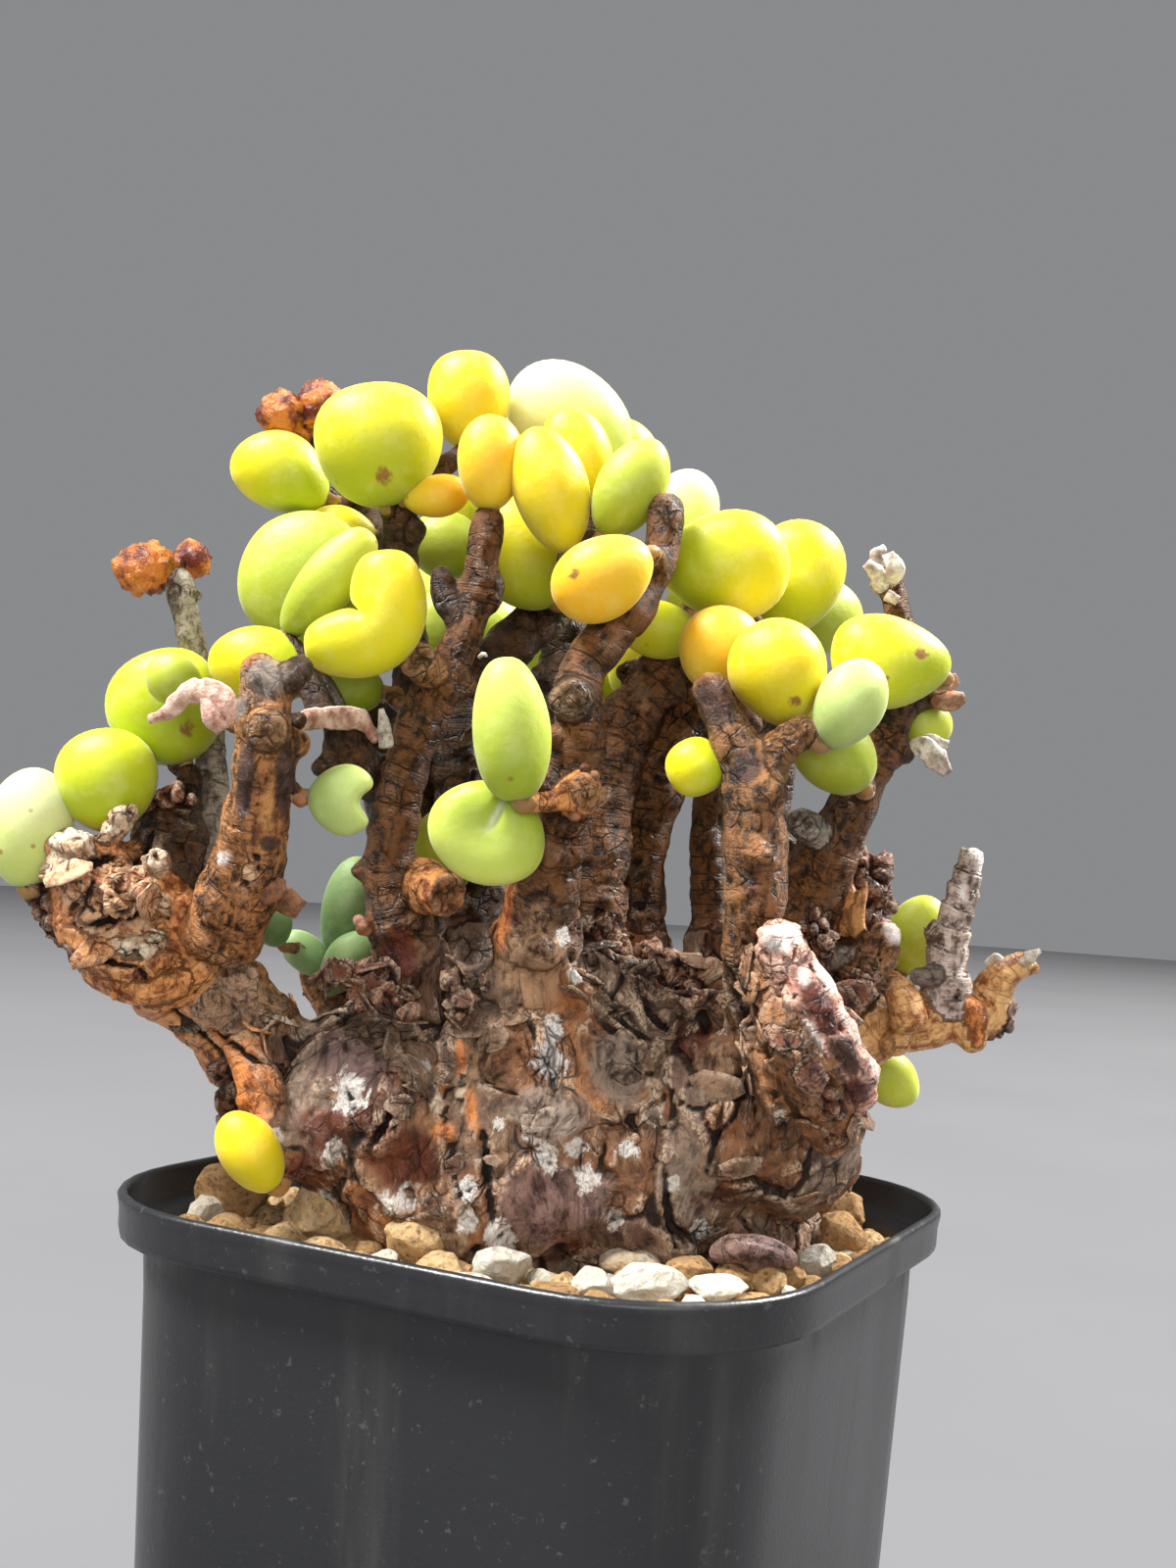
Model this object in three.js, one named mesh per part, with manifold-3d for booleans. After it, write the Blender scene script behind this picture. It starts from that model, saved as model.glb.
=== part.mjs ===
// A dwarf caudex succulent in a square nursery pot, in millimetres, +Z up.
// The pot stands on the XY plane with its middle at the origin and its sides along X and Y.
import * as THREE from "three";
import { mergeVertices } from "three/addons/utils/BufferGeometryUtils.js";
import Module from "manifold-3d";

const wasm = await Module();
wasm.setup();

// The pot: a tapered square with round corners and a collar round its rim.
const POT_WIDTH = 70;
const POT_HEIGHT = 78;
const POT_CORNER = 18;
const POT_WALL = 1;
const POT_TAPER = 0.048;
const COLLAR_HEIGHT = 4.2;
const COLLAR_STEP = 2.7;
const POT_FLOOR = 1.6;
const DRAIN_RADIUS = 3;
const DRAIN_OFFSET = 15;
const CORNER_STEPS = 6;

// What fills the pot, and the clearance left between pieces that touch.
const SOIL_TOP = POT_HEIGHT - 4.4;
const GAP = 0.3;

// The plant is laid out as it looks from its best side. Across and up are millimetres on the upright plane
// through the pot's middle, from SIGHT_POINT. Back is how far behind that plane a point lies, along the line
// of sight from the eye, and sizes are those that the eye sees on the plane.
const SIGHT_POINT = new THREE.Vector3(1.2, 0.6, 119.2);
const EYE_DISTANCE = 170;
const EYE_TURN = THREE.MathUtils.degToRad(27.24);
const EYE_RISE = THREE.MathUtils.degToRad(-2.62);
const EYE_ROLL = THREE.MathUtils.degToRad(3.65);

const TO_EYE = new THREE.Vector3(
  Math.sin(EYE_TURN) * Math.cos(EYE_RISE),
  -Math.cos(EYE_TURN) * Math.cos(EYE_RISE),
  Math.sin(EYE_RISE),
);
const ACROSS = new THREE.Vector3(Math.cos(EYE_TURN), Math.sin(EYE_TURN), 0).applyAxisAngle(TO_EYE, EYE_ROLL);
const UPWARD = new THREE.Vector3().crossVectors(TO_EYE, ACROSS);
const EYE = SIGHT_POINT.clone().addScaledVector(TO_EYE, EYE_DISTANCE);

const scaleAt = (back) => 1 + back / EYE_DISTANCE;

function seen([across, up, back]) {
  const onPlane = SIGHT_POINT.clone().addScaledVector(ACROSS, across).addScaledVector(UPWARD, up);
  return onPlane.sub(EYE).multiplyScalar(scaleAt(back)).add(EYE);
}

// The point that the eye sees at across and up, at a given height above the ground.
function seenAtHeight(across, up, z) {
  const toPlane = seen([across, up, 0]).sub(EYE);
  return toPlane.multiplyScalar((z - EYE.z) / toPlane.z).add(EYE);
}

// Solids

function toSolid(geometry) {
  const bare = geometry.clone();
  bare.deleteAttribute("normal");
  bare.deleteAttribute("uv");
  const merged = mergeVertices(bare, 1e-3);
  const position = merged.getAttribute("position");
  return new wasm.Manifold(
    new wasm.Mesh({ numProp: 3, vertProperties: position.array, triVerts: new Uint32Array(merged.index.array) }),
  );
}

function toGeometry(solid) {
  const { vertProperties, triVerts, numProp } = solid.getMesh();
  const points = new Float32Array((vertProperties.length / numProp) * 3);
  for (let i = 0; i < points.length / 3; i++) points.set(vertProperties.subarray(i * numProp, i * numProp + 3), i * 3);
  const geometry = new THREE.BufferGeometry();
  geometry.setAttribute("position", new THREE.BufferAttribute(points, 3));
  geometry.setIndex(new THREE.BufferAttribute(new Uint32Array(triVerts), 1));
  geometry.computeVertexNormals();
  return geometry;
}

const joined = (solids) => solids.reduce((whole, solid) => whole.add(solid));

function largestPiece(solid) {
  const pieces = solid.decompose();
  return pieces.reduce((best, piece) => (piece.volume() > best.volume() ? piece : best));
}

const boxesMeet = (a, b) => [0, 1, 2].every((i) => a.min[i] < b.max[i] && b.min[i] < a.max[i]);

function cutAway(solid, tools) {
  const near = tools.filter((tool) => boxesMeet(solid.boundingBox(), tool.boundingBox()));
  return near.length ? largestPiece(near.reduce((left, tool) => left.subtract(tool), solid)) : solid;
}

// A closed skin through rings of points that run the same way round, ended at each end by a middle point.
function skin(rings, firstMiddle, lastMiddle) {
  const sides = rings[0].length;
  const points = [...rings.flat(), firstMiddle, lastMiddle];
  const first = rings.length * sides;
  const index = [];
  for (let side = 0; side < sides; side++) {
    const next = (side + 1) % sides;
    index.push(first, next, side);
    for (let ring = 0; ring + 1 < rings.length; ring++) {
      const low = ring * sides;
      const high = low + sides;
      index.push(low + side, low + next, high + next, low + side, high + next, high + side);
    }
    const last = (rings.length - 1) * sides;
    index.push(last + side, last + next, first + 1);
  }
  const geometry = new THREE.BufferGeometry().setFromPoints(points);
  geometry.setIndex(index);
  return geometry;
}

// A repeatable unevenness between -1 and 1, about 5 mm from bump to bump.
function bump({ x, y, z }, seed = 0) {
  const a = Math.sin(1.13 * x + 0.71 * z + seed) * Math.sin(1.37 * y - 0.53 * z + 2.1 * seed);
  const b = Math.sin(0.67 * z + 1.9 * x - 1.3 * seed) * Math.sin(1.21 * z + 0.83 * y + seed);
  return 0.5 * (a + b);
}

// A seeded run of numbers from 0 to 1.
function randomRun(seed) {
  let state = seed;
  return () => {
    state = (state * 1664525 + 1013904223) % 4294967296;
    return state / 4294967296;
  };
}

// The pot

function squareRing(half, corner, z) {
  const inner = half - corner;
  const middles = [[inner, inner], [-inner, inner], [-inner, -inner], [inner, -inner]];
  return middles.flatMap(([x, y], quarter) =>
    Array.from({ length: CORNER_STEPS + 1 }, (_, step) => {
      const angle = (Math.PI / 2) * (quarter + step / CORNER_STEPS);
      return new THREE.Vector3(x + corner * Math.cos(angle), y + corner * Math.sin(angle), z);
    }),
  );
}

const collarHalf = POT_WIDTH / 2;
const collarFoot = POT_HEIGHT - COLLAR_HEIGHT;
const bodyHalf = (z) => collarHalf - COLLAR_STEP - POT_TAPER * (collarFoot - z);
const cornerOf = (half) => POT_CORNER - (collarHalf - half);
const potRing = (half, z) => squareRing(half, cornerOf(half), z);

function makePot() {
  const lip = 0.4;
  const collarInner = collarHalf - POT_WALL;
  const rings = [
    potRing(bodyHalf(0) - lip, 0),
    potRing(bodyHalf(lip), lip),
    potRing(bodyHalf(collarFoot), collarFoot),
    potRing(collarHalf - lip / 2, collarFoot),
    potRing(collarHalf, POT_HEIGHT - lip),
    potRing(collarHalf - lip, POT_HEIGHT),
    potRing(collarInner, POT_HEIGHT),
    potRing(collarInner - lip / 2, collarFoot + POT_WALL),
    potRing(bodyHalf(collarFoot) - POT_WALL, collarFoot + POT_WALL / 2),
    potRing(bodyHalf(POT_FLOOR) - POT_WALL, POT_FLOOR),
  ];
  const cup = toSolid(skin(rings, new THREE.Vector3(0, 0, 0), new THREE.Vector3(0, 0, POT_FLOOR)));
  const drains = [-1, 1].flatMap((sideX) =>
    [-1, 1].map((sideY) => {
      const hole = new THREE.CylinderGeometry(DRAIN_RADIUS, DRAIN_RADIUS, 3 * POT_FLOOR, 12);
      hole.rotateX(Math.PI / 2);
      hole.translate(sideX * DRAIN_OFFSET, sideY * DRAIN_OFFSET, POT_FLOOR / 2);
      return toSolid(hole);
    }),
  );
  return drains.reduce((pot, hole) => pot.subtract(hole), cup);
}

// The room inside the pot, clear of its walls, going on upwards past the rim.
function potRoom() {
  const clear = POT_WALL + GAP;
  const ledge = collarFoot + clear;
  const top = POT_HEIGHT + 12;
  const rings = [
    potRing(bodyHalf(POT_FLOOR) - clear, POT_FLOOR + GAP),
    potRing(bodyHalf(collarFoot) - clear, ledge),
    potRing(collarHalf - clear - 0.3, ledge),
    potRing(collarHalf - clear - 0.3, top),
  ];
  return toSolid(skin(rings, new THREE.Vector3(0, 0, POT_FLOOR + GAP), new THREE.Vector3(0, 0, top)));
}

// The wood: a swollen base and the stems that rise from it, grown as one piece.
// A limb is a list of [across, up, back, radius] from its root to its tip.

const LUMPS = [
  { at: [-3.5, -37, 2], radii: [25, 15, 20] },
  { at: [-21.5, -33, -4], radii: [10.5, 11, 12] },
  { at: [13, -31, -4], radii: [11, 13, 14] },
  { at: [-2, -26, 0], radii: [16, 10, 15] },
  { at: [20, -36, -4], radii: [8, 8, 10] },
  { at: [-2, -45, 3], radii: [25, 10, 18] },
  { at: [1, -31, 15], radii: [20, 12, 11] },
  { at: [-48.6, -12.8, -9], radii: [6.4, 6, 5.4] },
];

const LIMBS = [
  // the tap root
  [[-2, -46, 3, 13], [-1, -60, 4, 8], [0, -76, 4, 3.5]],
  // the stout arm on the left, with its blunt head
  [[-26, -34, -2, 7], [-33, -27.6, -4, 6.2], [-40, -20, -6, 6.1], [-45.6, -13.8, -8, 6], [-49.2, -9.8, -9, 5.2],
    [-52.2, -7.4, -9, 3.8]],
  [[-44, -11, -5, 4.6], [-42, -4.5, -4, 3.9], [-41.3, -2.6, -4, 3]],
  // the near upright on the left, its fork and its round scar
  [[-37.5, -16, -9, 4.6], [-35.5, -10, -13, 4.3], [-33.8, -3, -17, 3.8], [-33.2, 3, -19, 3.6],
    [-32.8, 8.5, -20, 3], [-33.6, 12, -20, 1.9], [-33.8, 13.2, -20, 1.5]],
  [[-32.4, 8.8, -20, 1.9], [-30.2, 11, -20, 1.5], [-28.6, 12.5, -19, 1.5]],
  [[-32.8, 5.5, -20, 2.4], [-32.8, 5.5, -24.3, 2.1]],
  // the thin grey stem behind it
  [[-37.5, -10, -3, 2.3], [-38.4, 0, -1, 1.8], [-38.8, 8, 0, 1.4], [-39.7, 12.5, 0, 1.3], [-41, 16, 0, 1.7],
    [-42.1, 19.7, 0, 1.6]],
  // the tall stem left of the middle, with its stubs
  [[-16, -26, -3, 6.5], [-18.5, -17, -6, 5.2], [-19.5, -9, -8, 4.3], [-19.2, -2, -9, 4], [-17, 6, -9, 3.7],
    [-14.5, 12, -9, 3.3], [-12.5, 18, -8, 2.8], [-11, 24, -8, 2.5], [-10.2, 28, -8, 2.3]],
  [[-16, 11, -10, 2.3], [-18, 12.5, -13, 2.2], [-19, 13.2, -14.5, 2]],
  [[-13.2, 17, -8, 1.9], [-14.8, 19.5, -8, 1.6], [-15, 22.2, -8, 1.2]],
  [[-11.5, 20, -8, 1.4], [-8.2, 20.8, -8, 1.2]],
  [[-17, -10, -8, 2.8], [-14.2, -11.4, -12.5, 2.5]],
  // the dark stem behind the tall one, with a twig reaching left
  [[-18, -22, 5, 4], [-20.5, -5, 6, 3.2], [-20.5, 6, 4, 2.8], [-19.8, 16, 2, 2.4], [-19.5, 24, 0, 2.2],
    [-19.2, 28, -1, 2.1]],
  [[-19.4, 24.5, 0, 1.6], [-17, 26.6, -2, 1.3]],
  [[-19.6, 23, 1, 1.5], [-23.5, 29, 6, 1.3], [-26.5, 33.4, 5, 1.1], [-28.6, 35.2, 4, 1]],
  // the short branch to the left of the tall stem, with a dry strip of bark across it
  [[-19.5, -1, -5, 2.8], [-22.5, 1, -6, 2.5], [-25, 3.5, -8, 2.4], [-25.5, 5.2, -8.5, 2.2]],
  [[-30, 6.2, -14, 1.3], [-27, 6.8, -11, 1.5], [-24, 6.6, -9, 1.5], [-21.8, 5.6, -8, 1.2]],
  // the middle stem, which leans right, with its scar and knobs
  [[-5.5, -24, -5, 6], [-5.5, -15, -10, 4.9], [-3.8, -8, -13, 3.9], [-2, -1, -14, 3.2], [-1.2, 5, -15, 2.9],
    [-0.8, 10, -15, 2.8], [2, 14.5, -14, 2.5], [5, 18, -13, 2.2], [7.2, 23.5, -12, 2], [8.2, 29.4, -12, 1.8]],
  [[-1.4, 8.8, -15, 3], [-2, 8.8, -19.6, 2.6]],
  [[-1.5, -1.5, -15, 2.8], [0, -0.6, -19, 2]],
  [[7.4, 26, -12, 1.5], [9.4, 25.8, -12, 1.2]],
  // the dark branch behind the middle
  [[-11, -22, 3, 5], [-12, -10, 3, 3.6], [-13, 0, 2, 3.2], [-12, 8, 2, 3], [-9, 13, 3, 2.9], [-5.5, 16, 4, 2.7],
    [-2, 19.5, 6, 2.2]],
  // three stems close together right of the middle
  [[0, -18, -4, 5], [0.8, -9, -4, 3.6], [1.7, -2, -3, 3.2], [3.5, 5.5, -2, 3.2], [6.8, 10.5, -1, 3],
    [10, 14, 0, 2.6], [11.2, 16, 0, 2.2]],
  [[6.8, -22, 0, 4], [6, -14, 0, 2.8], [5.8, -8, 0, 2.7], [7, -2, 0, 2.8], [9, 4, 1, 2.7], [11.5, 9, 2, 2.5],
    [13.5, 14, 3, 2.2]],
  [[11.8, -22, 2, 3.8], [11, -14, 2, 2.5], [11, -7, 2, 2.3], [12, -1, 3, 2.3], [14.5, 5, 4, 2.2], [17, 11, 4, 2],
    [18, 15, 3, 1.8]],
  // the near stem on the right and its fork
  [[18, -31, -10, 6], [17.5, -21, -16, 4], [16.8, -15, -18, 3.2], [17, -9, -19, 3.5], [16.8, -3, -20, 3.5],
    [16, 1.5, -20, 3.2], [14.2, 5.5, -20, 2.5], [12.8, 9, -20, 2], [12.2, 11, -20, 1.9]],
  [[17, -1, -20, 3], [19, 3.2, -20, 2.2], [21.5, 5.2, -20, 1.8], [22.8, 6.2, -20, 1.5]],
  // the stout arm on the right that comes forward and down
  [[18.5, -15.5, -22.5, 2.2], [20.5, -18.5, -24.5, 3.1], [23, -22.5, -25, 3.7], [25.8, -27, -24, 3.7],
    [27.8, -30.8, -22, 3], [28.5, -32, -22, 2.2]],
  [[16, -30, -8, 6], [22, -26, -18, 4.5], [24.5, -25, -22, 3.2]],
  // the stem on the right with its dead tip and two dry stubs
  [[19, -21, -2, 5.2], [22.2, -11.5, -2, 3.9], [24.5, -6, -3, 3.2], [27.2, -1.2, -4, 2.5], [29.8, 3.5, -4, 2.3],
    [31.5, 8, -4, 2], [32.2, 13, -3, 1.7], [31.8, 17.5, -2, 1.5], [31, 20, -2, 1.4], [30.3, 22.4, -2, 1.5]],
  [[31.2, 20.2, -2, 1.1], [28.8, 20.6, -2, 1]],
  [[31.5, 8.2, -4, 1.6], [35, 9, -3, 1.5], [37.4, 9.5, -3, 1.6]],
  [[29.8, 3.8, -4, 1.5], [33.2, 3, -4, 1.2]],
  [[23.5, -5, -5, 1.8], [21, -3.6, -8, 1.6]],
  // the broken cluster behind it
  [[23, -24, 2, 5], [27, -14, 2, 4], [28.5, -9, 2, 3], [28, -6.8, 2, 2.6]],
  [[24, -20, -1, 4], [26.5, -16, -3, 3.2], [29, -15, -5, 2.2], [31.2, -14.2, -6.5, 1.4]],
  // the arm on the right that ends torn, and the ringed stem on it
  [[22, -28, 1, 6], [30, -24, -1, 3.7], [33.5, -24, -2, 3.2], [37.5, -23.5, -2, 3.2], [40.5, -23, -2, 3],
    [42.2, -19.8, -2, 1.9], [45, -17.8, -2, 1.3]],
  [[40, -23.8, -2, 2.6], [43.2, -25, -2, 1.6]],
  [[36.8, -22.5, -3, 2.7], [36.6, -18.5, -3, 2.3], [37.2, -14.5, -3, 1.9], [38.2, -11.2, -3, 1.7], [39, -8, -3, 1.4],
    [39.3, -6.6, -3, 1.3]],
  // the frayed flank low on the right
  [[18, -33, -7, 7], [25, -34.5, -10, 4.4], [27.8, -35.6, -10, 2.4]],
  // stems at the back
  [[-4, -24, 10, 5.5], [-4, -8, 12, 3.6], [-3, 6, 12, 3], [-2, 18, 12, 2.6], [-1.5, 28, 11, 2.2], [-1.5, 31, 10, 1.8]],
  [[-16, -26, 12, 5], [-24, -8, 15, 3.2], [-27, 4, 14, 2.8], [-28, 12, 11, 2.3], [-27.5, 15, 9, 2]],
  [[13, -26, 14, 5], [17, -8, 16, 3.2], [18.5, 4, 15, 2.8], [18, 14, 12, 2.2]],
  [[-22, -26, 8, 4], [-27, -20, 9, 2.4], [-28.5, -17.5, 9, 1.8]],
  [[20, -26, 12, 4.6], [27, -19, 14, 3], [31, -17.5, 13, 2.2]],
  [[0, -28, 20, 5], [-3, -12, 26, 3.2], [-4, 2, 27, 2.6], [-3, 8, 25, 2.1]],
  [[-12, -28, 20, 4.6], [-17, -12, 27, 3], [-19, 3, 28, 2.4], [-17, 12, 25, 2]],
  [[12, -28, 20, 4.6], [15, -14, 28, 3], [14, 0, 30, 2.4], [10, 8, 27, 2]],
];

// Ellipsoid with an uneven skin, fattened by grow.
function lumpSolid({ at, radii }, grow) {
  const size = scaleAt(at[2]);
  const ball = new THREE.IcosahedronGeometry(1, radii[0] > 12 ? 2 : 1);
  const points = ball.getAttribute("position");
  const middle = seen(at);
  for (let i = 0; i < points.count; i++) {
    const unit = new THREE.Vector3().fromBufferAttribute(points, i).normalize();
    const rough = 1 + 0.05 * bump(unit.clone().multiplyScalar(4), radii[0]);
    const local = unit.clone().multiply(new THREE.Vector3(...radii)).multiplyScalar(size * rough);
    local.addScaledVector(unit, grow);
    const placed = middle.clone().addScaledVector(ACROSS, local.x).addScaledVector(UPWARD, local.y);
    placed.addScaledVector(TO_EYE, local.z);
    points.setXYZ(i, placed.x, placed.y, placed.z);
  }
  return toSolid(ball);
}

// Evenly spread stations along a limb, each with its place and radius.
function stations(limb) {
  const radii = limb.map(([, , back, radius]) => radius * scaleAt(back));
  const curve = new THREE.CatmullRomCurve3(limb.map(seen), false, "centripetal");
  const meanRadius = radii.reduce((sum, radius) => sum + radius) / radii.length;
  const steps = Math.max(2, Math.round(curve.getLength() / (2.7 * meanRadius)));
  return Array.from({ length: steps + 1 }, (_, step) => {
    const t = step / steps;
    const spot = t * (limb.length - 1);
    const before = Math.min(Math.floor(spot), limb.length - 2);
    const radius = THREE.MathUtils.lerp(radii[before], radii[before + 1], spot - before);
    return { place: curve.getPoint(t), along: curve.getTangent(t), radius };
  });
}

// A limb's tube, swollen at every second station as a jointed stem is, fattened by grow.
function limbSolid(limb, grow) {
  const path = stations(limb);
  const thick = path[0].radius;
  const sides = thick > 3.4 ? 6 : 5;
  const overall = path.at(-1).place.clone().sub(path[0].place).normalize();
  const reference = Math.abs(overall.dot(TO_EYE)) > 0.8 ? UPWARD : TO_EYE;
  const rings = path.map(({ place, along, radius }, station) => {
    const sideways = new THREE.Vector3().crossVectors(along, reference).normalize();
    const forward = new THREE.Vector3().crossVectors(sideways, along);
    const swell = station % 2 ? 1.06 : 0.95;
    return Array.from({ length: sides }, (_, side) => {
      const angle = (2 * Math.PI * side) / sides;
      const reach = radius * swell * (1 + 0.07 * bump(place, side)) + grow;
      const turned = sideways.clone().multiplyScalar(reach * Math.cos(angle));
      return place.clone().add(turned).addScaledVector(forward, -reach * Math.sin(angle));
    });
  });
  const start = path[0];
  const end = path.at(-1);
  const root = start.place.clone().addScaledVector(start.along, -0.4 * start.radius - grow);
  const tip = end.place.clone().addScaledVector(end.along, 0.4 * end.radius + grow);
  return toSolid(skin(rings, root, tip));
}

const woodSolid = (grow) => [
  ...LUMPS.map((lump) => lumpSolid(lump, grow)),
  ...LIMBS.map((limb) => limbSolid(limb, grow)),
];

const woodStations = LIMBS.flatMap(stations);

// The leaves: plump bodies, each on a short stalk from the nearest wood. at is the middle, size is length, width
// and thickness, and lean is how far the tip turns clockwise from upright. nod tips it towards the eye, bend
// curves it sideways, notch dents its tip and cup hollows its face.
const LEAF_COLOURS = {
  lime: 0xb9c22a,
  yellow: 0xe0cf2a,
  amber: 0xe0a52c,
  green: 0x7fa845,
  pale: 0xc3d08a,
  jade: 0x8fb58a,
};

const LEAVES = [
  { at: [-57, -4.6, -9], size: [12.4, 8.6, 7], lean: 8, colour: "pale" },
  { at: [-49.2, 0.4, -8], size: [10.6, 10.4, 8], lean: -8, colour: "lime" },
  { at: [-43, 7.8, -4], size: [12.4, 11.8, 8.5], lean: -20, colour: "lime" },
  { at: [-42.2, 10.6, -12], size: [6, 5.4, 4.6], lean: 35, colour: "green" },
  { at: [-31.3, 31.6, 2], size: [10.6, 8, 6.8], lean: -62, colour: "lime", bend: 0.15 },
  { at: [-21.5, 34.7, -3], size: [12.8, 13, 9.5], lean: -6, colour: "lime" },
  { at: [-12.2, 39.2, 2], size: [10, 8.4, 7.4], lean: 0, colour: "yellow" },
  { at: [-1.8, 37.4, 6], size: [14, 10, 8.6], lean: -58, colour: "pale" },
  { at: [-10, 32.7, -8], size: [10, 6.9, 6.8], lean: 0, colour: "amber" },
  { at: [-3.8, 29.8, -9], size: [13.2, 7.7, 7], lean: -16, colour: "yellow" },
  { at: [-1, 33.4, -1], size: [10.5, 7, 6], lean: -24, colour: "yellow" },
  { at: [4.2, 30, -10], size: [11.2, 7, 6.6], lean: 30, colour: "green" },
  { at: [1.5, 21.1, -17], size: [11, 8.4, 7.4], lean: -118, colour: "amber" },
  { at: [-15.5, 29.4, -3], size: [6.8, 4.4, 4], lean: 80, colour: "amber" },
  { at: [-25, 27.2, 2], size: [8.6, 6, 5.4], lean: -82, colour: "yellow" },
  { at: [-29, 20.2, 0], size: [14, 13.4, 8.5], lean: -30, colour: "green" },
  { at: [-26.4, 20.8, -8], size: [13.6, 6.6, 6], lean: 38, colour: "green", bend: -0.25 },
  { at: [-21.6, 17, -14], size: [14.5, 7.8, 7], lean: 18, colour: "yellow", bend: 0.75 },
  { at: [-14.2, 24.2, 9], size: [8.6, 7, 6], lean: -70, colour: "green" },
  { at: [-13.4, 27.4, 15], size: [8, 6, 5.6], lean: -40, colour: "lime" },
  { at: [-6.4, 23.6, 1], size: [12.6, 11, 8], lean: -28, colour: "lime" },
  { at: [-25, 9.8, -5], size: [8.8, 6.2, 5.6], lean: -84, colour: "green" },
  { at: [-33, 12, -8], size: [11.4, 8, 6.8], lean: -80, colour: "lime" },
  { at: [-15, 15, 15], size: [9.4, 7.6, 6.4], lean: -10, colour: "green" },
  { at: [-25, -1.6, -18], size: [7.4, 7.4, 4.6], lean: 97, colour: "jade", notch: 0.45 },
  { at: [-32.3, -14.2, 3], size: [5, 4.2, 3.8], lean: -20, colour: "green" },
  { at: [-7.9, 5.5, -22], size: [14.4, 8.1, 7], lean: -3, colour: "lime" },
  { at: [-10.2, -4.8, -19], size: [12.4, 10.4, 6.6], lean: -112, colour: "lime", cup: 0.35 },
  { at: [-14.6, -7, 0], size: [8.8, 6.8, 6], lean: -8, colour: "green" },
  { at: [-3.6, 11.8, 19], size: [8.6, 6.8, 6], lean: 14, colour: "green" },
  { at: [5.5, 11.2, 18], size: [8, 6.6, 5.6], lean: -15, colour: "lime" },
  { at: [7.4, 15.7, -4], size: [8.6, 5.8, 5.2], lean: -76, colour: "lime" },
  { at: [9.8, 27.4, 2], size: [9.4, 7, 6.4], lean: 14, colour: "pale" },
  { at: [14.2, 22.4, -6], size: [13.2, 11.4, 9], lean: 84, colour: "lime" },
  { at: [21.3, 21.2, 2], size: [11.6, 9.6, 8], lean: 12, colour: "lime" },
  { at: [13.4, 13.7, -11], size: [9.2, 8.6, 7], lean: 6, colour: "amber" },
  { at: [19.5, 11.5, -17], size: [11.2, 10, 8], lean: -12, colour: "yellow" },
  { at: [11.1, 1.7, -19], size: [6.4, 6, 5.2], lean: -74, colour: "lime" },
  { at: [26.6, 8.1, -20], size: [9.8, 7, 6.6], lean: 28, colour: "pale" },
  { at: [25.2, 3.2, -13], size: [9.8, 8, 7], lean: -40, colour: "green" },
  { at: [30.7, 12.6, -9], size: [12.6, 9.4, 8], lean: -74, colour: "lime", bend: -0.2 },
  { at: [34, 6.4, -1], size: [6.6, 5, 4.4], lean: 118, colour: "green" },
  { at: [33.6, -15.4, 8], size: [8.4, 6.2, 5.4], lean: 20, colour: "lime" },
  { at: [30.4, -29.8, 8], size: [7.6, 5.4, 4.8], lean: 130, colour: "lime" },
  { at: [-34.4, -37.7, -16], size: [9.2, 6.1, 5.6], lean: -32, colour: "yellow" },
];

// Leaves of one tuft, each on a short stalk from its heart.
const TUFTS = [
  { name: "leaf_tuft_low_left", heart: [-26.2, -20, 5], colour: "jade", leaves: [
    { at: [-24.4, -12.6, 6], size: [10.8, 5.6, 5], lean: 14 },
    { at: [-24.6, -18.2, 4], size: [7.6, 4.6, 4.2], lean: 33 },
    { at: [-28.6, -17.4, 7], size: [6.6, 3.8, 3.4], lean: -52 }] },
  backTuft("leaf_tuft_back_crown", [-1.5, 33.5, 11], 8.5, "lime"),
  backTuft("leaf_tuft_back_right", [18, 16.5, 13], 10, "green"),
  backTuft("leaf_tuft_back_middle", [-3, 11, 26], 10.4, "lime"),
  backTuft("leaf_tuft_back_left", [-17, 15, 26], 10.6, "green"),
  backTuft("leaf_tuft_back_far", [10, 11, 28], 10.5, "yellow"),
];

// Three leaves that spread from their heart, upwards and away from the eye.
function backTuft(name, heart, length, colour) {
  const size = [length, 0.78 * length, 0.66 * length];
  const spread = [{ lean: -80, nod: -20 }, { lean: 5, nod: -60 }, { lean: 85, nod: -25 }];
  const leaves = spread.map(({ lean, nod }) => {
    const tip = new THREE.Vector3(0, 0.6 * length, 0).applyMatrix4(fanTurn(lean, nod));
    return { at: [heart[0] + tip.x, heart[1] + tip.y, heart[2] - tip.z], size, lean, nod };
  });
  return { name, heart, colour, leaves };
}

const WITHERED = [
  { name: "withered_leaves_left", parts: [{ at: [-45.1, 22, 0], size: [7.2, 5.8, 5.4], lean: -100 },
    { at: [-40.6, 22.8, 2], size: [4.6, 4.2, 4.2], lean: 60 }] },
  { name: "withered_leaves_crown", parts: [{ at: [-31.2, 37.6, 3], size: [5.4, 5, 4.6], lean: -50 },
    { at: [-27.5, 38.6, 4], size: [6, 5, 4.8], lean: 20 }] },
  { name: "withered_curl_left", parts: [{ at: [-39.4, 8.8, -13], size: [7.4, 4, 2.4], lean: -112 }] },
  { name: "withered_leaf_right", parts: [{ at: [34.8, 2.6, -4], size: [5, 3.6, 1.6], lean: 100 }] },
];

// The turn of something upright that leans clockwise and nods towards the eye, as the eye sees it.
function fanTurn(lean, nod) {
  const leaning = new THREE.Matrix4().makeRotationZ(-THREE.MathUtils.degToRad(lean));
  return leaning.multiply(new THREE.Matrix4().makeRotationX(THREE.MathUtils.degToRad(nod)));
}

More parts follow.
